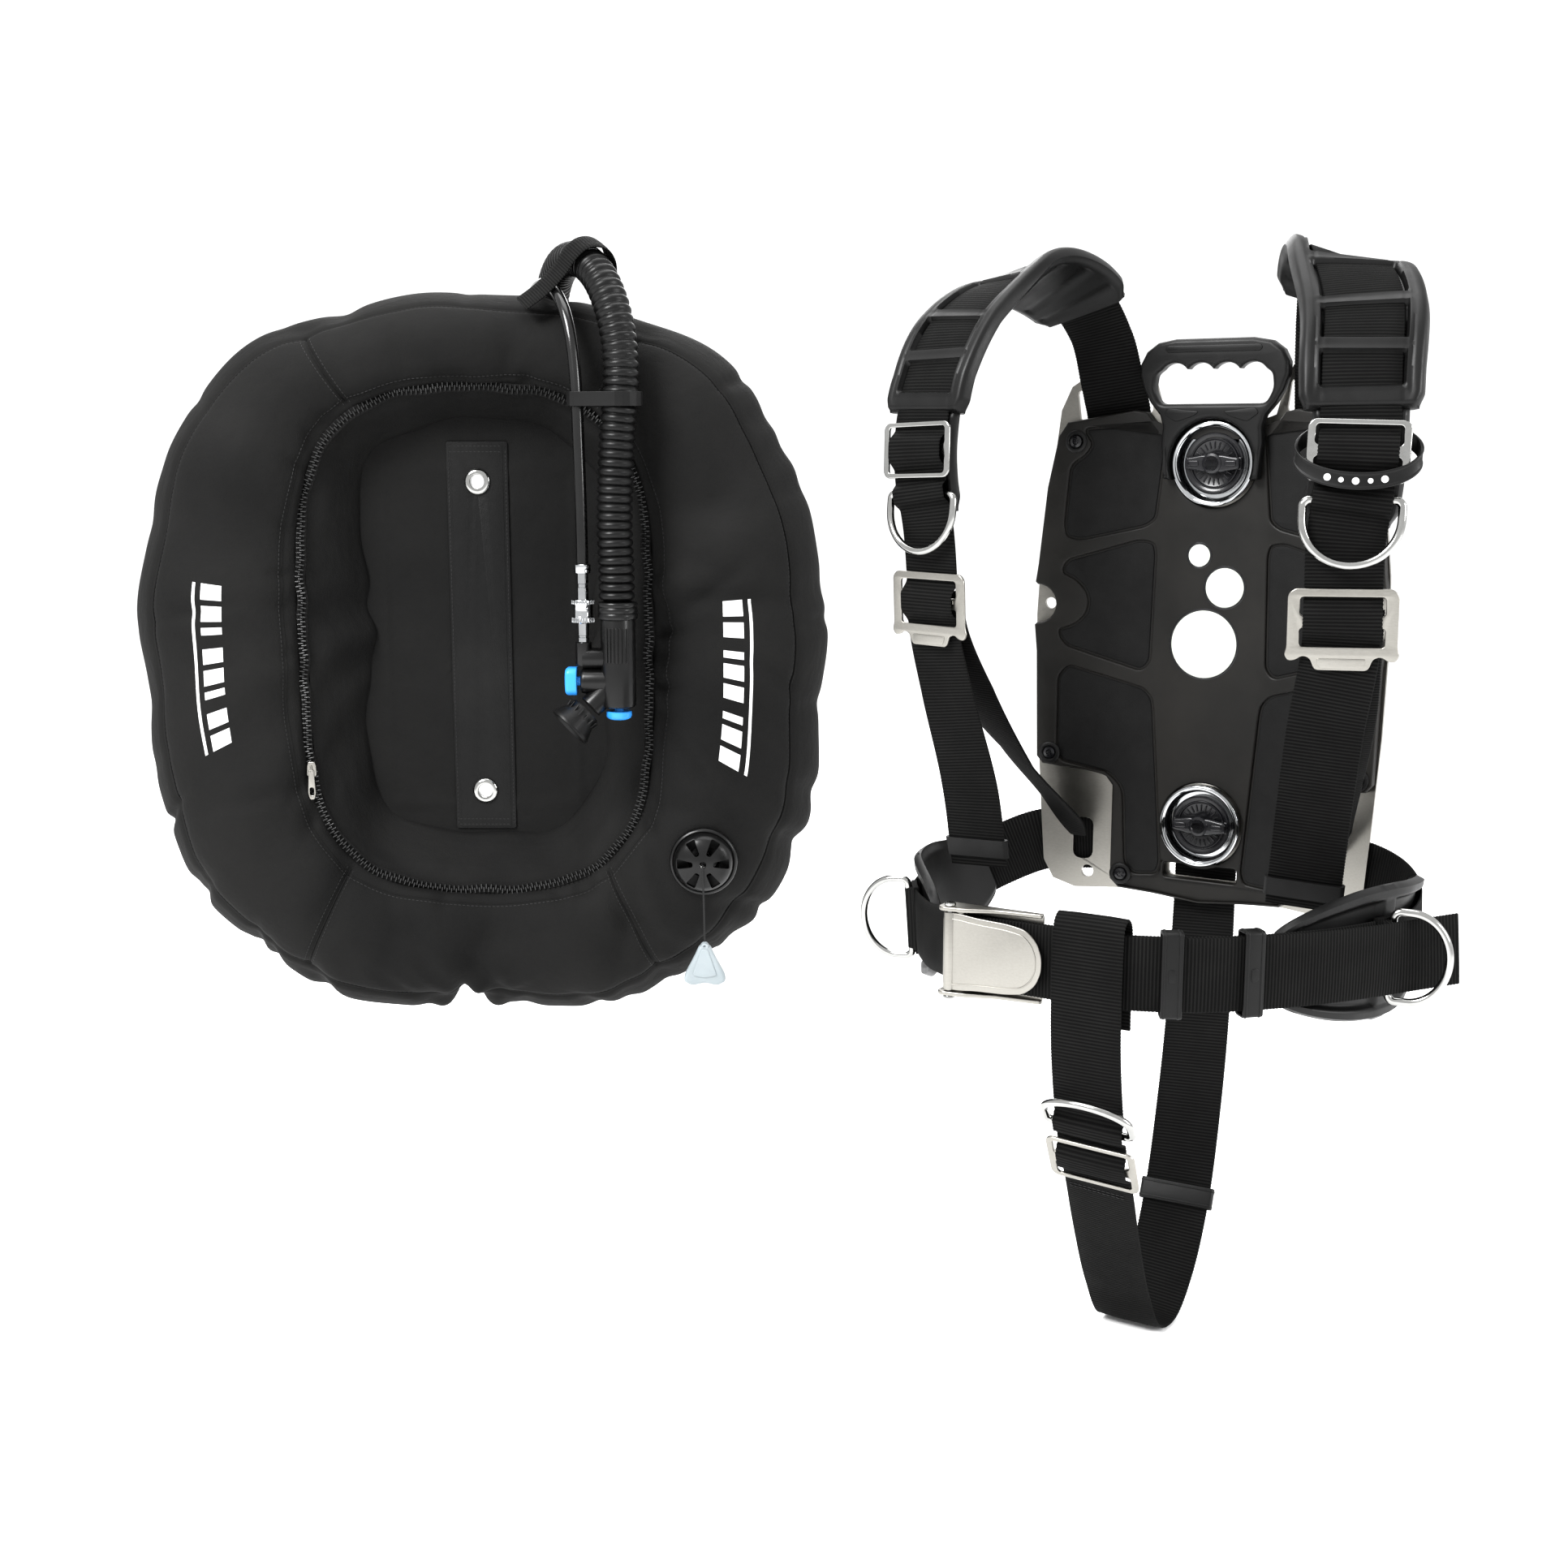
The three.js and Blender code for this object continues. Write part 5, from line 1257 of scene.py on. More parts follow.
def hip_top(x, t, edge):
    """The rims of a leaf-shaped hip pad round two windows, on the side that the belt lies on."""
    rim = 4.4 * window(edge, 0.74, 1.03, 0.09)
    bar = 3.4 * (window(t, 0.44, 0.56, 0.03) + window(t, 0.0, 0.13, 0.05) + window(t, 0.87, 1.0, 0.05))
    return -6.0 + np.maximum(rim, np.minimum(bar, 3.4)) - 2.2 * ease((edge - 0.94) / 0.06)


def hip_bottom(x, t, edge):
    return -10.2 + 2.4 * ease((edge - 0.8) / 0.2) - 0.5 * np.cos(math.pi * x / 50)


def hip_pad(side, strap, start, end):
    def half(t):
        return 47 * (0.45 + 0.55 * np.sin(math.pi * np.clip(t, 0, 1)) ** 0.65)
    body = skin(strap, start, end, half, hip_top, hip_bottom)
    made = piece(f"hip_cushion_{side}", body, HARNESS, "rubber", "harness", f"hip_pad_{side}",
                 50)


def hip_ring(side, strap, s, drop):
    at, across, _, out, _ = (v[0] for v in strap.frames([s], flat=True))
    lift = WEB_T / 2 + 0.35 + RING_WIRE + 0.1
    along = unit(np.array(drop) - across * (across @ np.array(drop)))
    place = HARNESS @ basis(across, along, np.cross(across, along), at + out * lift)
    piece(f"hip_ring_steel_{side}", d_ring(38), place, "bright", f"hip_ring_{side}",
          f"hip_d_ring_{side}", 60)
    clamp = skin(strap, s - 12, s + 12, lambda t: 26.5 + 0 * t,
                 lambda x, t, e: 1.9 + 5.6 * window(t, 0.1, 0.9, 0.34) * (e < 0.9),
                 lambda x, t, e: -2.3 + 0 * x)
    piece(f"hip_ring_sleeve_{side}", clamp, HARNESS, "webbing", "harness", (), 50)


belt_left, belt_tail, belt_right = Strap(BELT_LEFT), Strap(BELT_TAIL), Strap(BELT_RIGHT)
piece("waist_webbing_left", folded_belt(belt_left, belt_tail), HARNESS, "webbing", "harness",
      "waist_strap_left", 50)
piece("waist_webbing_right", ribbon(belt_right), HARNESS, "webbing", "harness",
      "waist_strap_right", 50)
hip_pad("left", belt_left, belt_left.near(176, -50, -175), belt_left.near(133, -229, -186))
hip_pad("right", belt_right, belt_right.near(-172, -45, -183), belt_right.near(-140, -198, -206))
hip_ring("left", belt_left, belt_left.near(182, -150, BELT_Z), (0.98, 0.2, 0))
hip_ring("right", belt_right, belt_right.near(-178, -145, -208), (-0.98, -0.2, 0))

def waist_buckle():
    left, right, back, half, ear, pin_r = -80, -8, -284.4, 31, 2.8, 2.0
    base = moved(plate(rounded(right - left, 2 * half, 3, 4), 2, 0.5), turn("X", 90))
    base = moved(base, shift((left + right) / 2, back, BELT_Z))
    side = smooth_loop([(left, -back), (right, -back), (right, 289), (-40, 293), (-60, 301),
                        (-76, 303), (left, 300)], 2.5, 4)
    ears = []
    for z in (BELT_Z + half - ear, BELT_Z - half):
        ear_body = plate(side * (1, -1), ear, 0.7, steps=3)
        ears.append(moved(ear_body, shift(0, 0, z)))
    bar = moved(rod(2.4, 2 * half - 2, 24, 0.4), shift(left + 4, back - 3.6, BELT_Z - half + 1))
    piece("buckle_base", [base, *ears, bar], HARNESS, "steel", "harness", "waist_buckle_frame",
          40, True)
    head = turned([(0, 0), (3.6, 0), (3.9, 0.5), (3.9, 1.6), (3.2, 2.3), (0, 2.3)], 32)
    pin_bodies = [moved(rod(pin_r, 65, 32, 0.4), shift(0, 0, -32.5)), moved(head, shift(0, 0, 31.4)),
                  moved(head, shift(0, 0, -31.4) @ turn("X", 180))]
    place = HARNESS @ shift(-72, -298, BELT_Z)
    piece("buckle_hinge_pin", pin_bodies, place, "bright", "harness", "waist_buckle_pin", 40,
          True)
    outline = smooth_loop([(-4, -27), (8, -27), (20, -25.4), (44, -24.3), (57, -22), (65, -15),
                           (68.6, -6), (69, 0), (68.6, 6), (65, 15), (57, 22), (44, 24.3),
                           (20, 25.4), (8, 27), (-4, 27)], 6, 5)
    face = moved(plate(outline, 1.7, 0.55, steps=4), turn("X", 90) @ shift(0, 0, 0.5))
    roll = moved(turned([(2.3, 0), (4, 0), (4.15, 0.6), (4.15, 53.4), (4, 54),
                         (2.3, 54)], 40), shift(0, 0, -27))
    line = inset(ccw(outline), 4.2)
    line = np.column_stack([line[:, 0], np.full(len(line), -2.25), line[:, 1]])
    along = unit(np.roll(line, -1, 0) - np.roll(line, 1, 0))
    up = np.tile([0.0, -1.0, 0.0], (len(line), 1))
    bead = sweep(circle(0.55, 8), line, np.cross(along, up), up, closed=True)
    piece("buckle_lever_plate", [face, roll, bead], place, "steel", "buckle_lever",
          "waist_buckle_lever", 40, True)


waist_buckle()


def keeper(name, place, w, h, length, body, node):
    """A moulded rubber band round webbing, modelled open along Y, with two raised ribs."""
    wall = 1.6
    outer, inner = rounded(w, h, 2.6, 5), rounded(w - 2 * wall, h - 2 * wall, 1.0, 5)
    ring = moved(plate(outer, length, 0.5, [inner], 3), turn("X", 90) @ shift(0, 0, -length / 2))
    ribs = []
    for y in (-length / 2 + 2.2, length / 2 - 2.2):
        rib = plate(rounded(w + 0.7, h + 0.7, 2.9, 5), 1.4, 0.4, [rounded(w - 1, h - 1, 2.0, 5)])
        ribs.append(moved(rib, turn("X", 90) @ shift(0, 0, -y - 0.7)))
    grain = moved(plate(rounded(9, 5, 2.0, 4), 0.5, 0.25), shift(0, 0, h / 2 - 0.1))
    piece(name, [ring, *ribs, grain], place, "keeper", body, node, 40, True)


for number, x, y in ((1, 77, -274), (2, 119, -243)):
    station = belt_left.place(belt_left.near(x, y, BELT_Z), LAYER / 2)
    keeper(f"belt_loop_{number}", HARNESS @ station, 58, 13, 14, f"keeper_{number}",
           f"belt_keeper_{number}")

# ---- Crotch strap ----
CROTCH = [
    (0, 3.5, -149, 1, 0, 0), (0, 3.5, -196, 1, 0, 0), (2, -4, -238, 1, 0.05, 0),
    (7, -22, -292, 1, 0.1, 0), (13, -50, -350, 1, 0.15, 0), (18, -84, -415, 1, 0.15, 0),
    (18, -112, -462, 1, 0.1, 0), (16, -140, -489, 1, 0, 0), (14, -165, -486, 1, 0, 0),
    (12, -185, -455, 1, 0, 0), (17, -222, -398, 1, 0, 0), (23, -252, -352, 1, 0, 0),
    (26, -273, -318, 1, 0, 0), (28, -288, -280, 1, 0, 0), (28, -295.3, -235, 1, 0, 0),
    (28, -295.9, -170, 1, 0, 0), (28, -294, -155.5, 1, 0, 0), (28, -288, -151, 1, 0, 0),
    (28, -282, -155.5, 1, 0, 0), (28, -280.4, -170, 1, 0, 0), (28, -279.5, -228, 1, 0, 0),
]


def crotch():
    probe = Strap(CROTCH)
    slider_at = probe.near(26, -270, -328)
    ring_at = slider_at + RING_BELOW
    strap = Strap(CROTCH, [*weave(slider_at), *over(ring_at, RING_LIFT)])
    piece("crotch_webbing", ribbon(strap), HARNESS, "webbing", "harness", "crotch_strap", 50)
    seat = HARNESS @ strap.place(slider_at, FRAME_LIFT)
    piece("crotch_adjuster", slider(bevel=0.8), seat, "steel", "harness", "crotch_slider")
    at, across, along, out, _ = (v[0] for v in strap.frames([ring_at], flat=True))
    along = unit(along + out * 0.3)
    out = np.cross(across, along)
    place = HARNESS @ basis(across, along, out, at + out * 0.4)
    piece("crotch_ring_steel", d_ring(27), place, "bright", "crotch_ring", "crotch_d_ring", 60)
    station = strap.place(strap.near(18, -84, -415))
    keeper("crotch_loop", HARNESS @ station, 56, 7.5, 16, "crotch_keeper", "crotch_keeper")
    rows = [cross_stitches(strap, slider_at - back, 22, 24) for back in (34, 31)]
    piece("crotch_stitching", rows, HARNESS, "thread", "harness")


crotch()


# ---- Wing ----
# Ovals as middle X and Z, half-width, half-height, and the powers of both terms.
WING_OUT = (3, -22, 305, 322, 2.6, 2.6)
ZIP_LINE = (2, 0, 152, 222, 2.6, 4.2)
RIM_REACH = 148                      # from the zip line to the rim, where the section is full size
FRONT_LENGTH = 205                   # of the section's outline, from the zip's outer lip to the rim
ZIP_DEPTH = -44
# The air cell's section as reach from the zip line and depth, from the zip's outer lip to its inner.
CELL = [
    (3.6, -43), (6, -48), (18, -58), (40, -66.5), (75, -70), (110, -60.5), (134, -38), (147, -12),
    (147.5, 8), (138, 36), (110, 60), (75, 70), (30, 62), (-10, 40), (-44, 12), (-50, 3), (-42, -8),
    (-25, -24), (-6, -41), (-3.6, -43),
]
# Angles round the zip line, in degrees.
SEAMS = (62.5, 117, 239.5, 299.5)
PUCKER = 266


def on_oval(oval, angle):
    x, z, a, b, n, m = oval
    c, s = np.cos(angle), np.sin(angle)
    low, high = np.zeros_like(angle), np.full_like(angle, 2.0 * max(a, b))
    for _ in range(40):
        r = (low + high) / 2
        inside = np.abs(r * c / a) ** n + np.abs(r * s / b) ** m < 1
        low, high = np.where(inside, r, low), np.where(inside, high, r)
    return np.column_stack([x + low * c, 0 * c, z + low * s])


def cell_frames(angle):
    at = on_oval(ZIP_LINE, angle)
    across = on_oval(WING_OUT, angle) - at
    scale = np.linalg.norm(across, axis=1) / RIM_REACH
    return at, unit(across), scale, 0.55 + 0.45 * np.minimum(scale, 1)


def apart(angle, middle):
    """How far an angle lies from another, in degrees, either way round."""
    return (np.degrees(angle) - middle + 180) % 360 - 180


def fold_depths(angle, reach, front):
    """How far the cloth sinks in: pleats along the zip, puckers at the rim, and a few long folds."""
    depth = 1.1 * np.sin(9 * angle + 1.3 + reach * 0.012)
    depth += 0.9 * np.sin(15 * angle + 0.4 - reach * 0.02)
    near_zip = np.exp(-((reach - 6) / 17.0) ** 2)
    near_rim = np.exp(-((reach - 142) / 20.0) ** 2)
    for _ in range(34):
        middle, wide, size = random.uniform(0, 360), random.uniform(1.3, 3.2), random.uniform(0.8, 2.4)
        lean = random.uniform(-0.06, 0.06)
        depth += size * near_zip * np.exp(-((apart(angle, middle) + lean * reach) / wide) ** 2)
    for _ in range(46):
        middle, wide, size = random.uniform(0, 360), random.uniform(1.0, 2.6), random.uniform(0.6, 2.6)
        lean = random.uniform(-0.09, 0.09)
        lower = 0.55 + 0.75 * (np.sin(math.radians(middle)) < -0.35)
        away = apart(angle, middle) + lean * (RIM_REACH - reach)
        depth += size * lower * near_rim * np.exp(-(away / wide) ** 2)
    for _ in range(26):
        middle, wide, size = random.uniform(0, 360), random.uniform(1.6, 4.2), random.uniform(0.8, 2.8)
        lean, centre = random.uniform(-0.16, 0.16), random.uniform(35, 115)
        length = random.uniform(24, 52)
        away = apart(angle, middle) + lean * (reach - centre)
        depth += size * np.exp(-(away / wide) ** 2) * np.exp(-((reach - centre) / length) ** 2)
    for lean, wide, size in ((0.0, 1.7, 9.0), (0.17, 2.2, 3.6), (-0.17, 2.2, 3.6), (0.3, 2.6, 2.4),
                             (-0.3, 2.6, 2.4)):
        away = apart(angle, PUCKER) + lean * (RIM_REACH - reach)
        depth += size * np.exp(-(away / wide) ** 2) * np.exp(-((reach - 150) / 42.0) ** 2)
    for seam in SEAMS:
        away = apart(angle, seam)
        depth += front * 2.4 * np.exp(-(away / 2.6) ** 2) * window(reach, -5, 150, 18)
        depth += front * 1.3 * np.exp(-(away / 0.35) ** 2) * window(reach, 6, 126, 3)
    depth += 1.5 * np.exp(-((reach - 124) / 2.2) ** 2) * front
    depth += 0.8 * np.exp(-((reach - 14) / 1.6) ** 2) * front
    return 2.1 * depth


class Cell:
    """The air cell's outer cloth as a grid, and points on it by angle and reach along the front."""

    def __init__(self, steps=760):
        self.angle = TAU * np.arange(steps) / steps
        line = Route([(x, y, 0) for x, y in CELL], 24)
        s = np.linspace(0, line.length, 132)
        section = line.at(s)
        tangent = line.along(s)
        at, across, scale, deep = cell_frames(self.angle)
        x, y = section[:, 0], section[:, 1]
        out = np.array([0.0, 1.0, 0.0])
        verts = at[:, None] + across[:, None] * (x[None, :, None] * scale[:, None, None])
        verts = verts + out * (y[None, :, None] * deep[:, None, None])
        normal = across[:, None] * tangent[None, :, 1, None] - out * tangent[None, :, 0, None]
        front = (s < FRONT_LENGTH).astype(float)
        near_valve = np.hypot(verts[..., 0] - VALVE[0], verts[..., 2] - VALVE[1])
        near_elbow = np.hypot(verts[..., 0] - ELBOW[0], verts[..., 2] - ELBOW[1])
        calm = ease((near_valve - 30) / 26)
        calm = np.where(verts[..., 1] > 0, ease((near_elbow - 24) / 24), calm)
        angle, reach = self.angle[:, None] + 0 * x[None], x[None] + 0 * self.angle[:, None]
        sink = fold_depths(angle, reach, front[None]) - 1.2
        ends = np.minimum(ease(s / 10), ease((line.length - s) / 22))[None]
        self.verts = verts - normal * (sink * calm * ends)[..., None]
        self.normal = normal
        self.front = int(np.argmax(x))
        self.x = x
        self.s = s

    def body(self):
        rows, cols = self.verts.shape[:2]
        verts = self.verts.reshape(-1, 3)
        faces = [tuple(reversed(f)) for f in grid_faces(rows, cols, True, False)]
        around = np.repeat(self.angle * 260, cols)
        lay = np.stack([np.tile(self.s, rows), around, np.zeros(rows * cols)], axis=1)
        return verts, faces, lay

    def on(self, angle, reach, lift=0.0):
        """Points and normals on the front cloth at angles in degrees and reaches in millimetres."""
        angle, reach = np.broadcast_arrays(np.asarray(angle, float), np.asarray(reach, float))
        row = (np.radians(angle) % TAU) / TAU * len(self.angle)
        col = np.interp(reach, self.x[: self.front + 1], np.arange(self.front + 1))
        i, j = row.astype(int), np.minimum(col.astype(int), self.front)
        a, b = (row - i)[:, None], (col - j)[:, None]
        i, i2 = i % len(self.angle), (i + 1) % len(self.angle)
        result = []
        for grid in (self.verts, self.normal):
            low = grid[i, j] * (1 - a) + grid[i2, j] * a
            high = grid[i, j + 1] * (1 - a) + grid[i2, j + 1] * a
            result.append(low * (1 - b) + high * b)
        point, normal = result
        normal = unit(normal)
        return point + normal * lift, normal

    def patch(self, angles, reaches, thick=0.5):
        """A thin body that follows the cloth over a grid of angles and reaches."""
        a, r = np.meshgrid(angles, reaches, indexing="ij")
        top, normal = self.on(a.ravel(), r.ravel(), thick)
        verts = np.concatenate([top, top - normal * (thick + 0.6)])
        return verts, outward(verts, sheet_faces(*a.shape)), verts.copy()


def seam_bead(cell, angles, reaches, width=0.7, height=0.45):
    at, normal = cell.on(angles, reaches, 0.1)
    along = unit(np.gradient(at, axis=0))
    return sweep(circle(1, 6), at, unit(np.cross(along, normal)), normal, width, height)


def wing_cell():
    cell = Cell()
    made = piece("air_cell_cloth", cell.body(), WING, "cloth", "wing", "wing_shell", 60)
    cut(made, [(rod(12, 30, 40, 0.2, "Y"), WING @ shift(ELBOW[0], 48, ELBOW[1])),
               (rod(19, 30, 48, 0.2, "Y"), WING @ shift(VALVE[0], -86, VALVE[1]))])
    seams, threads = [], []
    for seam in SEAMS:
        reach = np.linspace(9, 122, 90)
        for side in (-1, 1):
            angle = np.full(90, seam + 0.75 * side)
            point, normal = cell.on(angle, reach)
            threads.append(stitches(point, normal, 3.6, 2.7, 0.34))
        seams.append(seam_bead(cell, np.full(90, float(seam)), reach, 0.9, 0.5))
    around = np.linspace(0, 360, 900)
    for reach, width in ((124.5, 1.1), (13.5, 0.8)):
        seams.append(seam_bead(cell, around, np.full(900, reach), width, 0.5))
    for reach in (121.5, 16.5):
        point, normal = cell.on(around, np.full(900, reach))
        threads.append(stitches(point, normal, 3.8, 2.8, 0.34))
    piece("cell_seams", seams, WING, "cloth", "wing")
    piece("cell_stitching", threads, WING, "thread", "wing")
    return cell


def cell_prints(cell):
    """Plain stripes and blocks on both sides of the cell."""
    bars = []
    for middle, count, low, high in ((181, 8, 62, 79), (354, 8, 64, 81)):
        for k in range(count):
            start = middle - 17 + 4.6 * k
            grow = 3.3 if k not in (2, 5) else 1.6
            angles = np.linspace(start, start + grow, 14)
            bars.append(cell.patch(angles, np.linspace(low, high, 12), 0.35))
        rail = np.linspace(middle - 17, middle - 17 + 4.6 * (count - 1) + 3.3, 90)
        bars.append(cell.patch(rail, np.linspace(high + 5, high + 7.5, 4), 0.35))
    piece("cell_marks", bars, WING, "print", "wing")


def zip_round():
    """Coil teeth and their tape."""
    steps = 1400
    angle = TAU * np.arange(steps) / steps
    at, across, _, deep = cell_frames(angle)
    sway = np.sin(angle * 21) + 0.7 * np.sin(angle * 34 + 1)
    out = np.tile([0.0, 1.0, 0.0], (steps, 1))
    line = at + across * (0.8 * sway)[:, None] + out * (ZIP_DEPTH * deep + 0.5 * sway)[:, None]
    closed = np.vstack([line, line[:1]])
    wide = np.vstack([across, across[:1]])
    s = run(closed)
    tape = sweep(rounded(9.6, 0.8, 0.35, 2), line + (0, -1.2, 0), across, out, closed=True)
    teeth = []
    tooth = rounded(1.4, 2.1, 0.6, 2)
    count = int(s[-1] / 2.1)
    for k in range(count):
        place = s[-1] * k / count
        centre, side, ahead = (
            np.array([np.interp(p, s, values[:, j]) for j in range(3)])
            for p, values in ((place, closed), (place, wide), (min(place + 0.8, s[-1]), closed))
        )
        ahead = unit(ahead - centre) if place + 0.8 < s[-1] else unit(centre - closed[-8])
        side = unit(side - ahead * (side @ ahead))
        hand = 1 if k % 2 else -1
        ends = np.linspace(-0.8, 3.7, 4) * hand
        up = np.cross(side, ahead)
        places = centre + side * ends[:, None] + (0, -3.0, 0)
        teeth.append(sweep(tooth, places, np.tile(ahead, (4, 1)), np.tile(up, (4, 1)),
                           (0.9, 1.15, 1, 0.8)))
    piece("zip_coil", teeth, WING, "teeth", "wing", "zip_chain", 60)
    piece("zip_tape", tape, WING, "cloth", "wing")


def zip_pull():
    angle = np.arange(math.pi, 4.2, 0.0005)
    spot = on_oval(ZIP_LINE, angle)
    spot = spot[np.argmin(np.abs(spot[:, 2] + 112))]
    body = plate(smooth_loop([(-4.5, -5), (-2.6, -7), (2.6, -7), (4.5, -5), (4.2, 3), (3, 7),
                              (-3, 7), (-4.2, 3)],
                             1.5, 3), 4.4, 0.9)
    loop = smooth_loop([(-2.5, 1), (2.5, 1), (2.6, -3), (3.6, -20), (2, -26), (-2, -26),
                        (-3.6, -20), (-2.6, -3)], 1.6,
                       3)
    tab = plate(loop, 1.5, 0.6, [rounded(3.6, 7, 1.5, 4) + (0, -18.5)])
    face = turn("X", 90)
    bodies = [moved(body, face @ shift(0, 0, -2.2)), moved(tab, face @ shift(0, -1, 2.3)),
              moved(rod(0.9, 6, 16, 0.3), shift(0, -3.1, -2.5))]
    place = WING @ shift(float(spot[0]), ZIP_DEPTH - 3.6, float(spot[2]))
    piece("zip_pull", bodies, place, "steel", "zip_slider", "zip_slider")


def centre_panel():
    """The stretched panel between the cell's lobes, with its stitched strip and grommets."""
    steps = 360
    angle = TAU * np.arange(steps) / steps
    at, across, scale, _ = cell_frames(angle)
    edge = at + across * (-46 * scale)[:, None]
    middle = np.array([2.0, 0, 0])
    shares = np.linspace(0, 1, 46) ** 0.8
    upper, lower = (level for _, level in BOLTS)
    layers = []
    for lift in (1.5, 2.6):
        verts = middle + (edge - middle)[:, None] * shares[None, 1:, None]
        x, z = verts[..., 0], verts[..., 2]
        inner = np.maximum(np.abs(x) / 92, np.abs(z) / 163)
        wave = 0.5 * np.sin(x / 17 + z / 41) + 0.4 * np.sin(z / 23 - x / 60)
        calm = np.minimum(np.hypot(x, z - upper), np.hypot(x, z - lower))
        wave = wave * ease((calm - 14) / 25) * (np.abs(x) > 29) * ease(1.4 - shares[None, 1:])
        crease = 0.8 * np.exp(-((inner - 0.93) * 26) ** 2)
        verts[..., 1] = lift + np.clip(wave - crease, -1.0, 0.9)
        layers.append(verts.reshape(-1, 3))
    cols = len(shares) - 1
    faces = grid_faces(steps, cols, True, False)
    size = steps * cols
    faces += [tuple(size + i for i in reversed(f)) for f in faces]
    for k in range(steps):
        a, b = k * cols + cols - 1, ((k + 1) % steps) * cols + cols - 1
        faces.append((b, a, size + a, size + b))
    faces.append(tuple(k * cols for k in range(steps)))
    faces.append(tuple(size + k * cols for k in reversed(range(steps))))
    verts = np.concatenate(layers)
    body = (verts, outward(verts, faces), verts.copy())
    panel = piece("centre_panel_cloth", body, WING, "lining", "wing", "center_panel", 60)
    cut(panel, [(rod(8.2, 20, 40, 0.1, "Y"), WING @ shift(0, -8, z)) for _, z in BOLTS])
    holes = [rounded(15.6, 15.6, 7.8, 10) + (0, z) for _, z in BOLTS]
    strip = plate(rounded(55, 350, 2.5, 4), 1.5, 0.5, holes)
    strip = moved(strip, shift(0, 1.3, 0) @ turn("X", 90))
    inlay = moved(plate(rounded(46, 347, 1.5, 4), 0.5, 0.25, holes), turn("X", 90))
    piece("grommet_webbing", [strip, inlay], WING, "satin", "wing", "grommet_strip")
    rows = []
    up = np.tile([0.0, -1.0, 0.0], (90, 1))
    for x in (-25.4, 25.4):
        line = np.column_stack([np.full(90, x), np.full(90, -0.25), np.linspace(-171, 171, 90)])
        rows.append(stitches(line, up, 3.6, 2.7, 0.36))
    for z in (-171, -166, 166, 171):
        line = np.column_stack([np.linspace(-25, 25, 90), np.full(90, -0.3), np.full(90, float(z))])
        rows.append(stitches(line, up, 3.6, 2.7, 0.36))
    piece("strip_stitching", rows, WING, "thread", "wing")
    profile = [(6.1, 4.6), (6.6, 5.4), (11, 5.4), (11.4, 4.9), (11.2, 4.2), (7.6, 3.6), (7.4, 0),
               (11.2, -0.7), (11.5, -1.3), (10.6, -2.5), (8.4, -3.3), (6.8, -3.0), (6.1, -2.0)]
    for name, z in BOLTS:
        piece(f"{name}_eyelet", turned(profile, 72, "Y"), WING @ shift(0, 0, z), "bright", "wing",
              f"{name}_grommet")


def dump_valve():
    ring = [(14, -54), (19, -54), (19, -70), (29.2, -70.2), (30, -71), (30, -75), (29, -76.6),
            (27.5, -77.2), (26.6, -76.6), (25.6, -76.4), (22.5, -75), (14, -73.5)]
    dome = [(26.4, -75), (26, -79), (24.4, -83), (20, -86.6), (14, -88.6), (6, -90), (3, -90.3),
            (3, -87.8), (13, -86), (22, -81.8), (23.4, -75)]
    piece("valve_ring", turned(ring, 96, "Y"), VALVE_PLACE, "plastic", "wing",
          "dump_valve_housing")
    cap = piece("valve_dome", turned(dome, 96, "Y"), VALVE_PLACE, "plastic", "wing")
    slot = smooth_loop([(9, -2), (23, -4.6), (23, 4.6), (9, 2)], 1.6, 4)
    cutter = plate(slot, 16, 0.2)
    cut(cap, [(cutter, VALVE_PLACE @ turn("Y", 60 * k) @ shift(0, -94, 0) @ turn("X", -90))
              for k in range(6)])
    lugs = []
    for k in range(12):
        lug = moved(plate(rounded(4.4, 5.0, 1.4, 3), 3.4, 0.8), shift(28.0, 0, 71.6))
        lugs.append(moved(lug, turn("Y", 30 * k) @ turn("X", 90)))
    piece("valve_lugs", lugs, VALVE_PLACE, "plastic", "wing")


def inflator():
    seat = shift(*INFLATOR, 0)
    barrel = turned([(0, -50), (13.4, -50), (14.6, -49), (15, -46), (15, 24), (14.4, 26), (0, 26)], 72)
    cuff = turned([(12, 25.4), (16.4, 26), (17, 26.8), (17, 30), (16.2, 31), (17, 32), (17, 35),
                   (16.2, 36), (17, 37), (17, 39.2), (16.4, 40), (12, 41)], 72)
    arm = moved(turned([(0, 0), (8.4, 0), (9, 0.8), (9, 30), (0, 30)], 56, "-X"), shift(0, 0, -8))
    housing = moved(turned([(4.5, 1), (9.4, 1), (10.6, 2), (11, 4), (11, 24), (4.5, 24)], 56, "X"),
                    shift(-33, 0, -27.5))
    post = moved(turned([(2.5, -14), (6.6, -14), (7, -13), (7, 5.6), (6.4, 6),
                         (2.5, 6)], 48), shift(QD_X - INFLATOR[0], 0, 0))
    mouth = moved(turned([(0, -17), (10, -17), (10.5, -16), (10.5, 17), (0, 17)], 56),
                  shift(-12, 0, -38) @ TILT)
    grip = plate(rounded(2.2, 30, 1, 3), 1.2, 0.5)
    ridges = [moved(grip, turn("Z", a) @ shift(0, -14.6, 4) @ turn("X", 90))
              for a in range(-36, 37, 12)]
    bodies = [barrel, cuff, arm, housing, post, mouth, *ridges]
    bodies = [moved(body, seat) for body in bodies]
    piece("inflator_housing", bodies, WING, "plastic", "wing", "inflator_body")


def toward(direction):
    direction = unit(np.array(direction, float))
    return Vector(direction).to_track_quat("Z", "Y").to_matrix().to_4x4()


TILT = toward((-0.7, -0.25, -0.67))


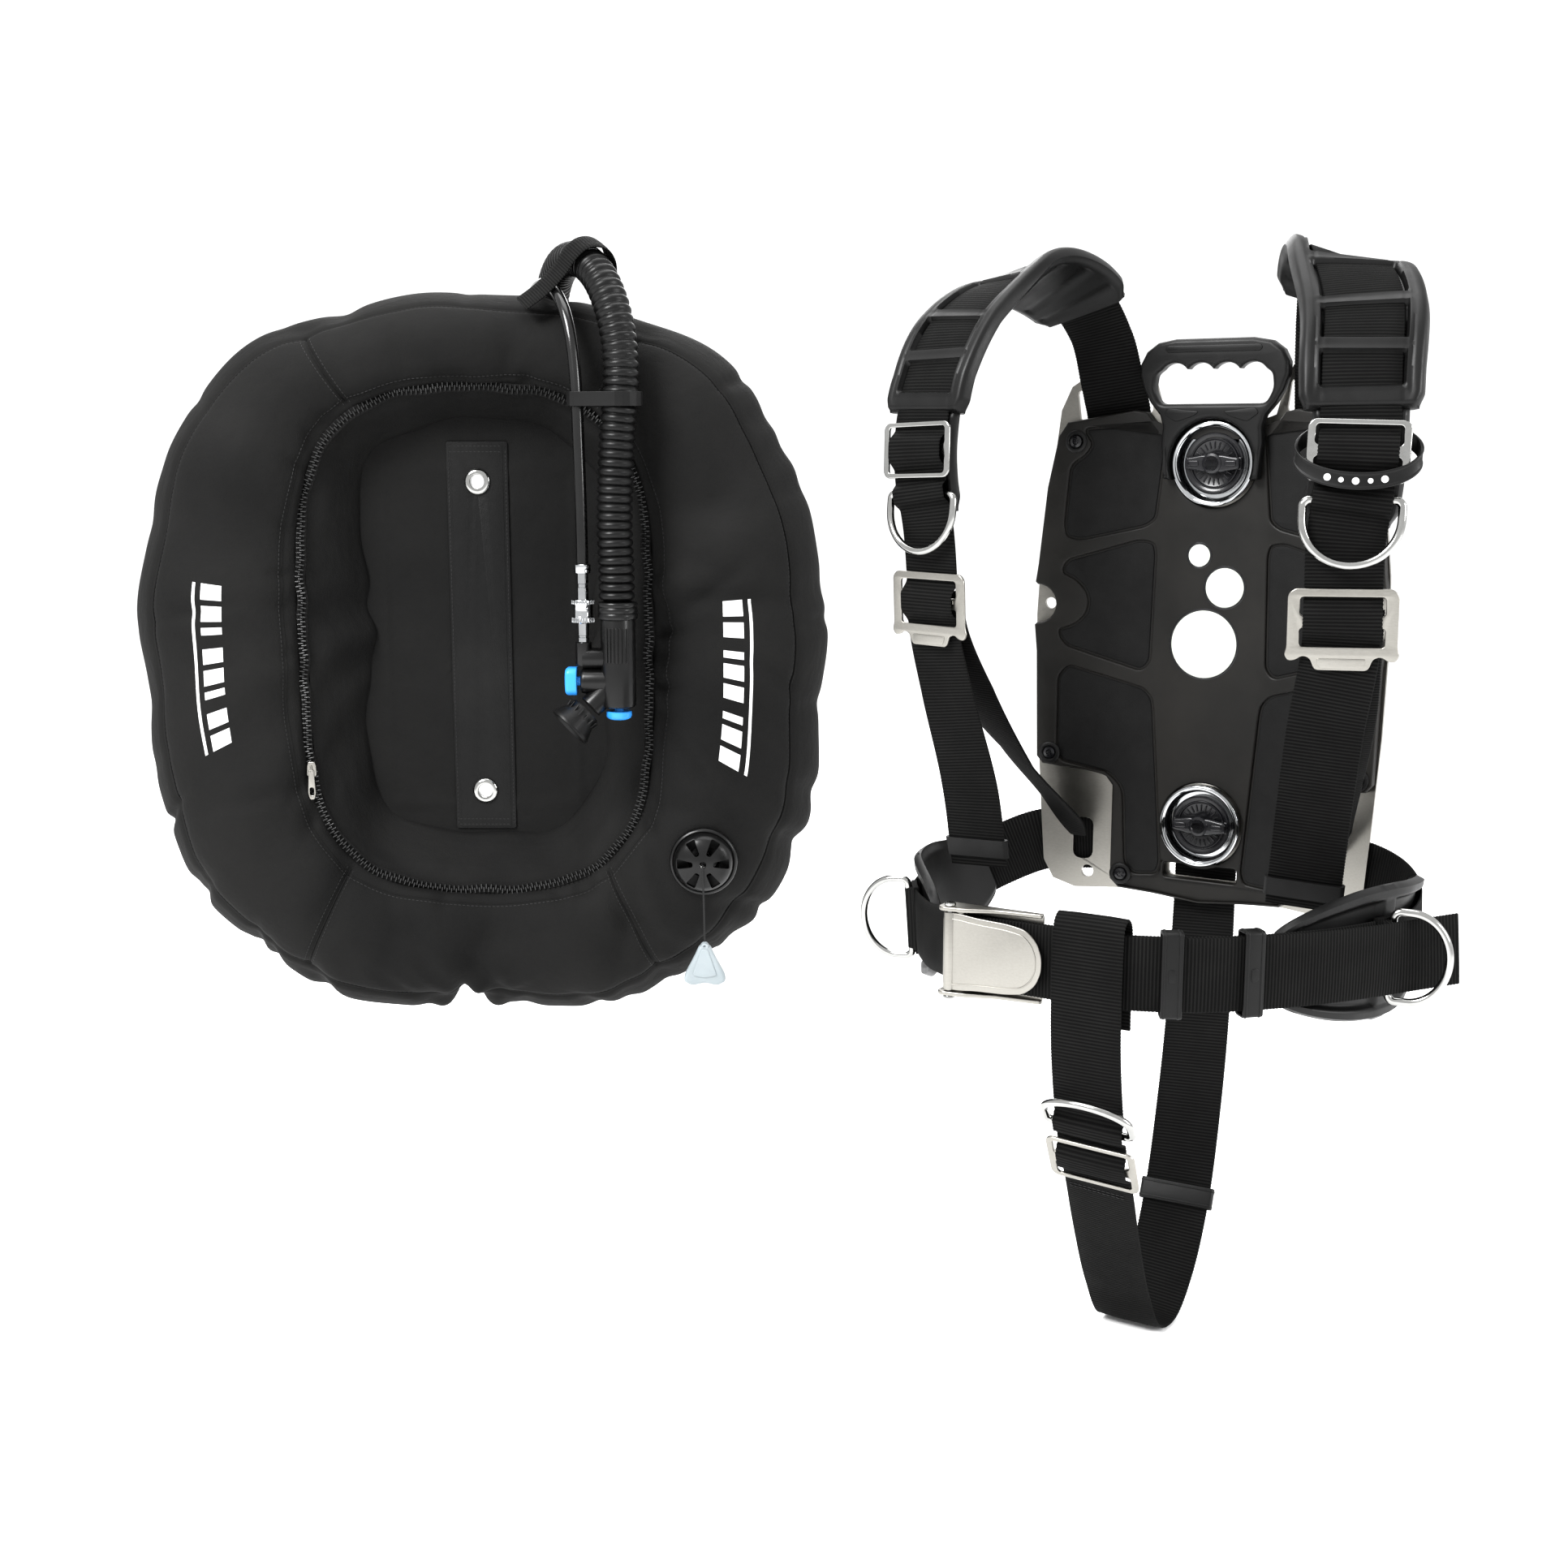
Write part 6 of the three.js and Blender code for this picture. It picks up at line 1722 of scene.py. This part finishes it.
def inflator_parts():
    rim = [(11, 0), (13, 0), (13.7, 1), (14, 6), (15.4, 9), (17.4, 13.5), (19.2, 17.5), (20, 19),
           (19.6, 21), (18.4, 21.4), (17.3, 20.6), (15.4, 15), (12.6, 9), (11, 8)]
    ribs = []
    for k in range(16):
        rib = moved(plate(rounded(1.5, 8, 0.7, 3), 1.2, 0.4), turn("X", -78))
        ribs.append(moved(rib, turn("Z", 22.5 * k) @ shift(0, 14.6, 6)))
    piece("mouthpiece_rubber", [turned(rim, 96), *ribs], WING @ shift(103, -93.5, -53) @ TILT, "rubber",
          "wing", "mouthpiece")
    cap = plate(rounded(20, 24, 6.5, 8), 10, 3.4, steps=6, low=0.6)
    pad = moved(plate(rounded(11, 14, 4, 6), 0.8, 0.4), shift(0, 0, 9.5))
    stem = moved(rod(4, 22, 32, 0.4), shift(0, 0, -21.5))
    place = WING @ shift(95.6, -92, -27.5) @ basis((0, 1, 0), (0, 0, -1), (-1, 0, 0), (0, 0, 0))
    piece("power_button_cap", [cap, pad, stem], place, "blue", "power_button",
          "power_button")
    dome = turned([(0, 0), (10.4, 0), (11, 0.6), (11, 4), (10, 6), (7.6, 7.2), (0, 7.8)], 64)
    stem = moved(rod(4, 16, 32, 0.4), shift(0, 0, -15.5))
    piece("oral_button_cap", [dome, stem], WING @ shift(*INFLATOR, -53.4) @ turn("X", 180), "blue",
          "oral_button", "oral_button")
    cuffs = [(1.9, 58), (7.0, 58.4), (7.4, 59), (7.4, 65.4), (6.8, 66), (1.9, 66)]
    stem = [(2, 0), (5, 0), (5, 3.4), (4.6, 3.8), (4.6, 5.2), (5, 5.6), (5, 46), (4.5, 46.5),
            (4.5, 49), (5, 49.5), (5, 58), (2, 58)]
    piece("quick_release_stem", [turned(stem, 56), turned(cuffs, 56)], WING @ shift(QD_X, -92, 6.4),
          "chrome", "wing", "qd_fitting")
    collar = [(5.4, 0.2), (8.8, 0), (9.5, 0.8), (9.5, 4.4), (8.6, 5.6), (8.4, 10), (8.6, 15),
              (9.5, 16.2), (9.5, 19.2), (8.9, 20), (5.4, 20)]
    knurls = []
    for k in range(28):
        for low, high in ((0.6, 4.6), (16.2, 19.4)):
            knurl = moved(rod(0.55, high - low, 8, 0.2), shift(9.35, 0, low))
            knurls.append(moved(knurl, turn("Z", 360 / 28 * k)))
    piece("quick_release_collar", [turned(collar, 72), *knurls], WING @ shift(QD_X, -92, 22.4),
          "chrome", "qd_collar", "qd_collar")
    restyle("plastic", "hose_elbow", "dump_valve_poppet", bevel=0.5)
    restyle("bright", "dump_valve_spring")
    restyle("bladder", "air_bladder")
    restyle("keeper", "hose_tie", bevel=0.4)


def hose_band():
    """The webbing band that holds both hoses over the wing's top edge."""
    hose = Route(np.array(HOSE_ROUTE) / MM)
    middle = np.array([106, -38, 324])
    ahead = hose.along(hose.s[[np.argmin(np.linalg.norm(hose.line - middle, axis=1))]])[0]
    side = unit(np.array([1.0, 0, 0]) - ahead * ahead[0])
    up = np.cross(side, ahead)
    loop = [(-62, -25), (-44, -15), (-26, 0), (-15.5, 12), (-6, 18.5), (5, 19), (14.5, 13.5),
            (19.5, 3), (19.5, -9), (17, -22)]
    band = Route([middle + side * u + up * v for u, v in loop])
    s = np.linspace(0, band.length, 240)
    at, along = band.at(s), band.along(s)
    across = square(np.tile(ahead, (240, 1)), along)
    body = sweep(web_section(s, 28, 1.8), at, across, np.cross(across, along), along=s)
    piece("hose_band", body, WING, "webbing", "wing", "hose_strap_top", 60)


cell = wing_cell()
cell_prints(cell)
zip_round()
zip_pull()
centre_panel()
dump_valve()
inflator()
inflator_parts()
hose_band()
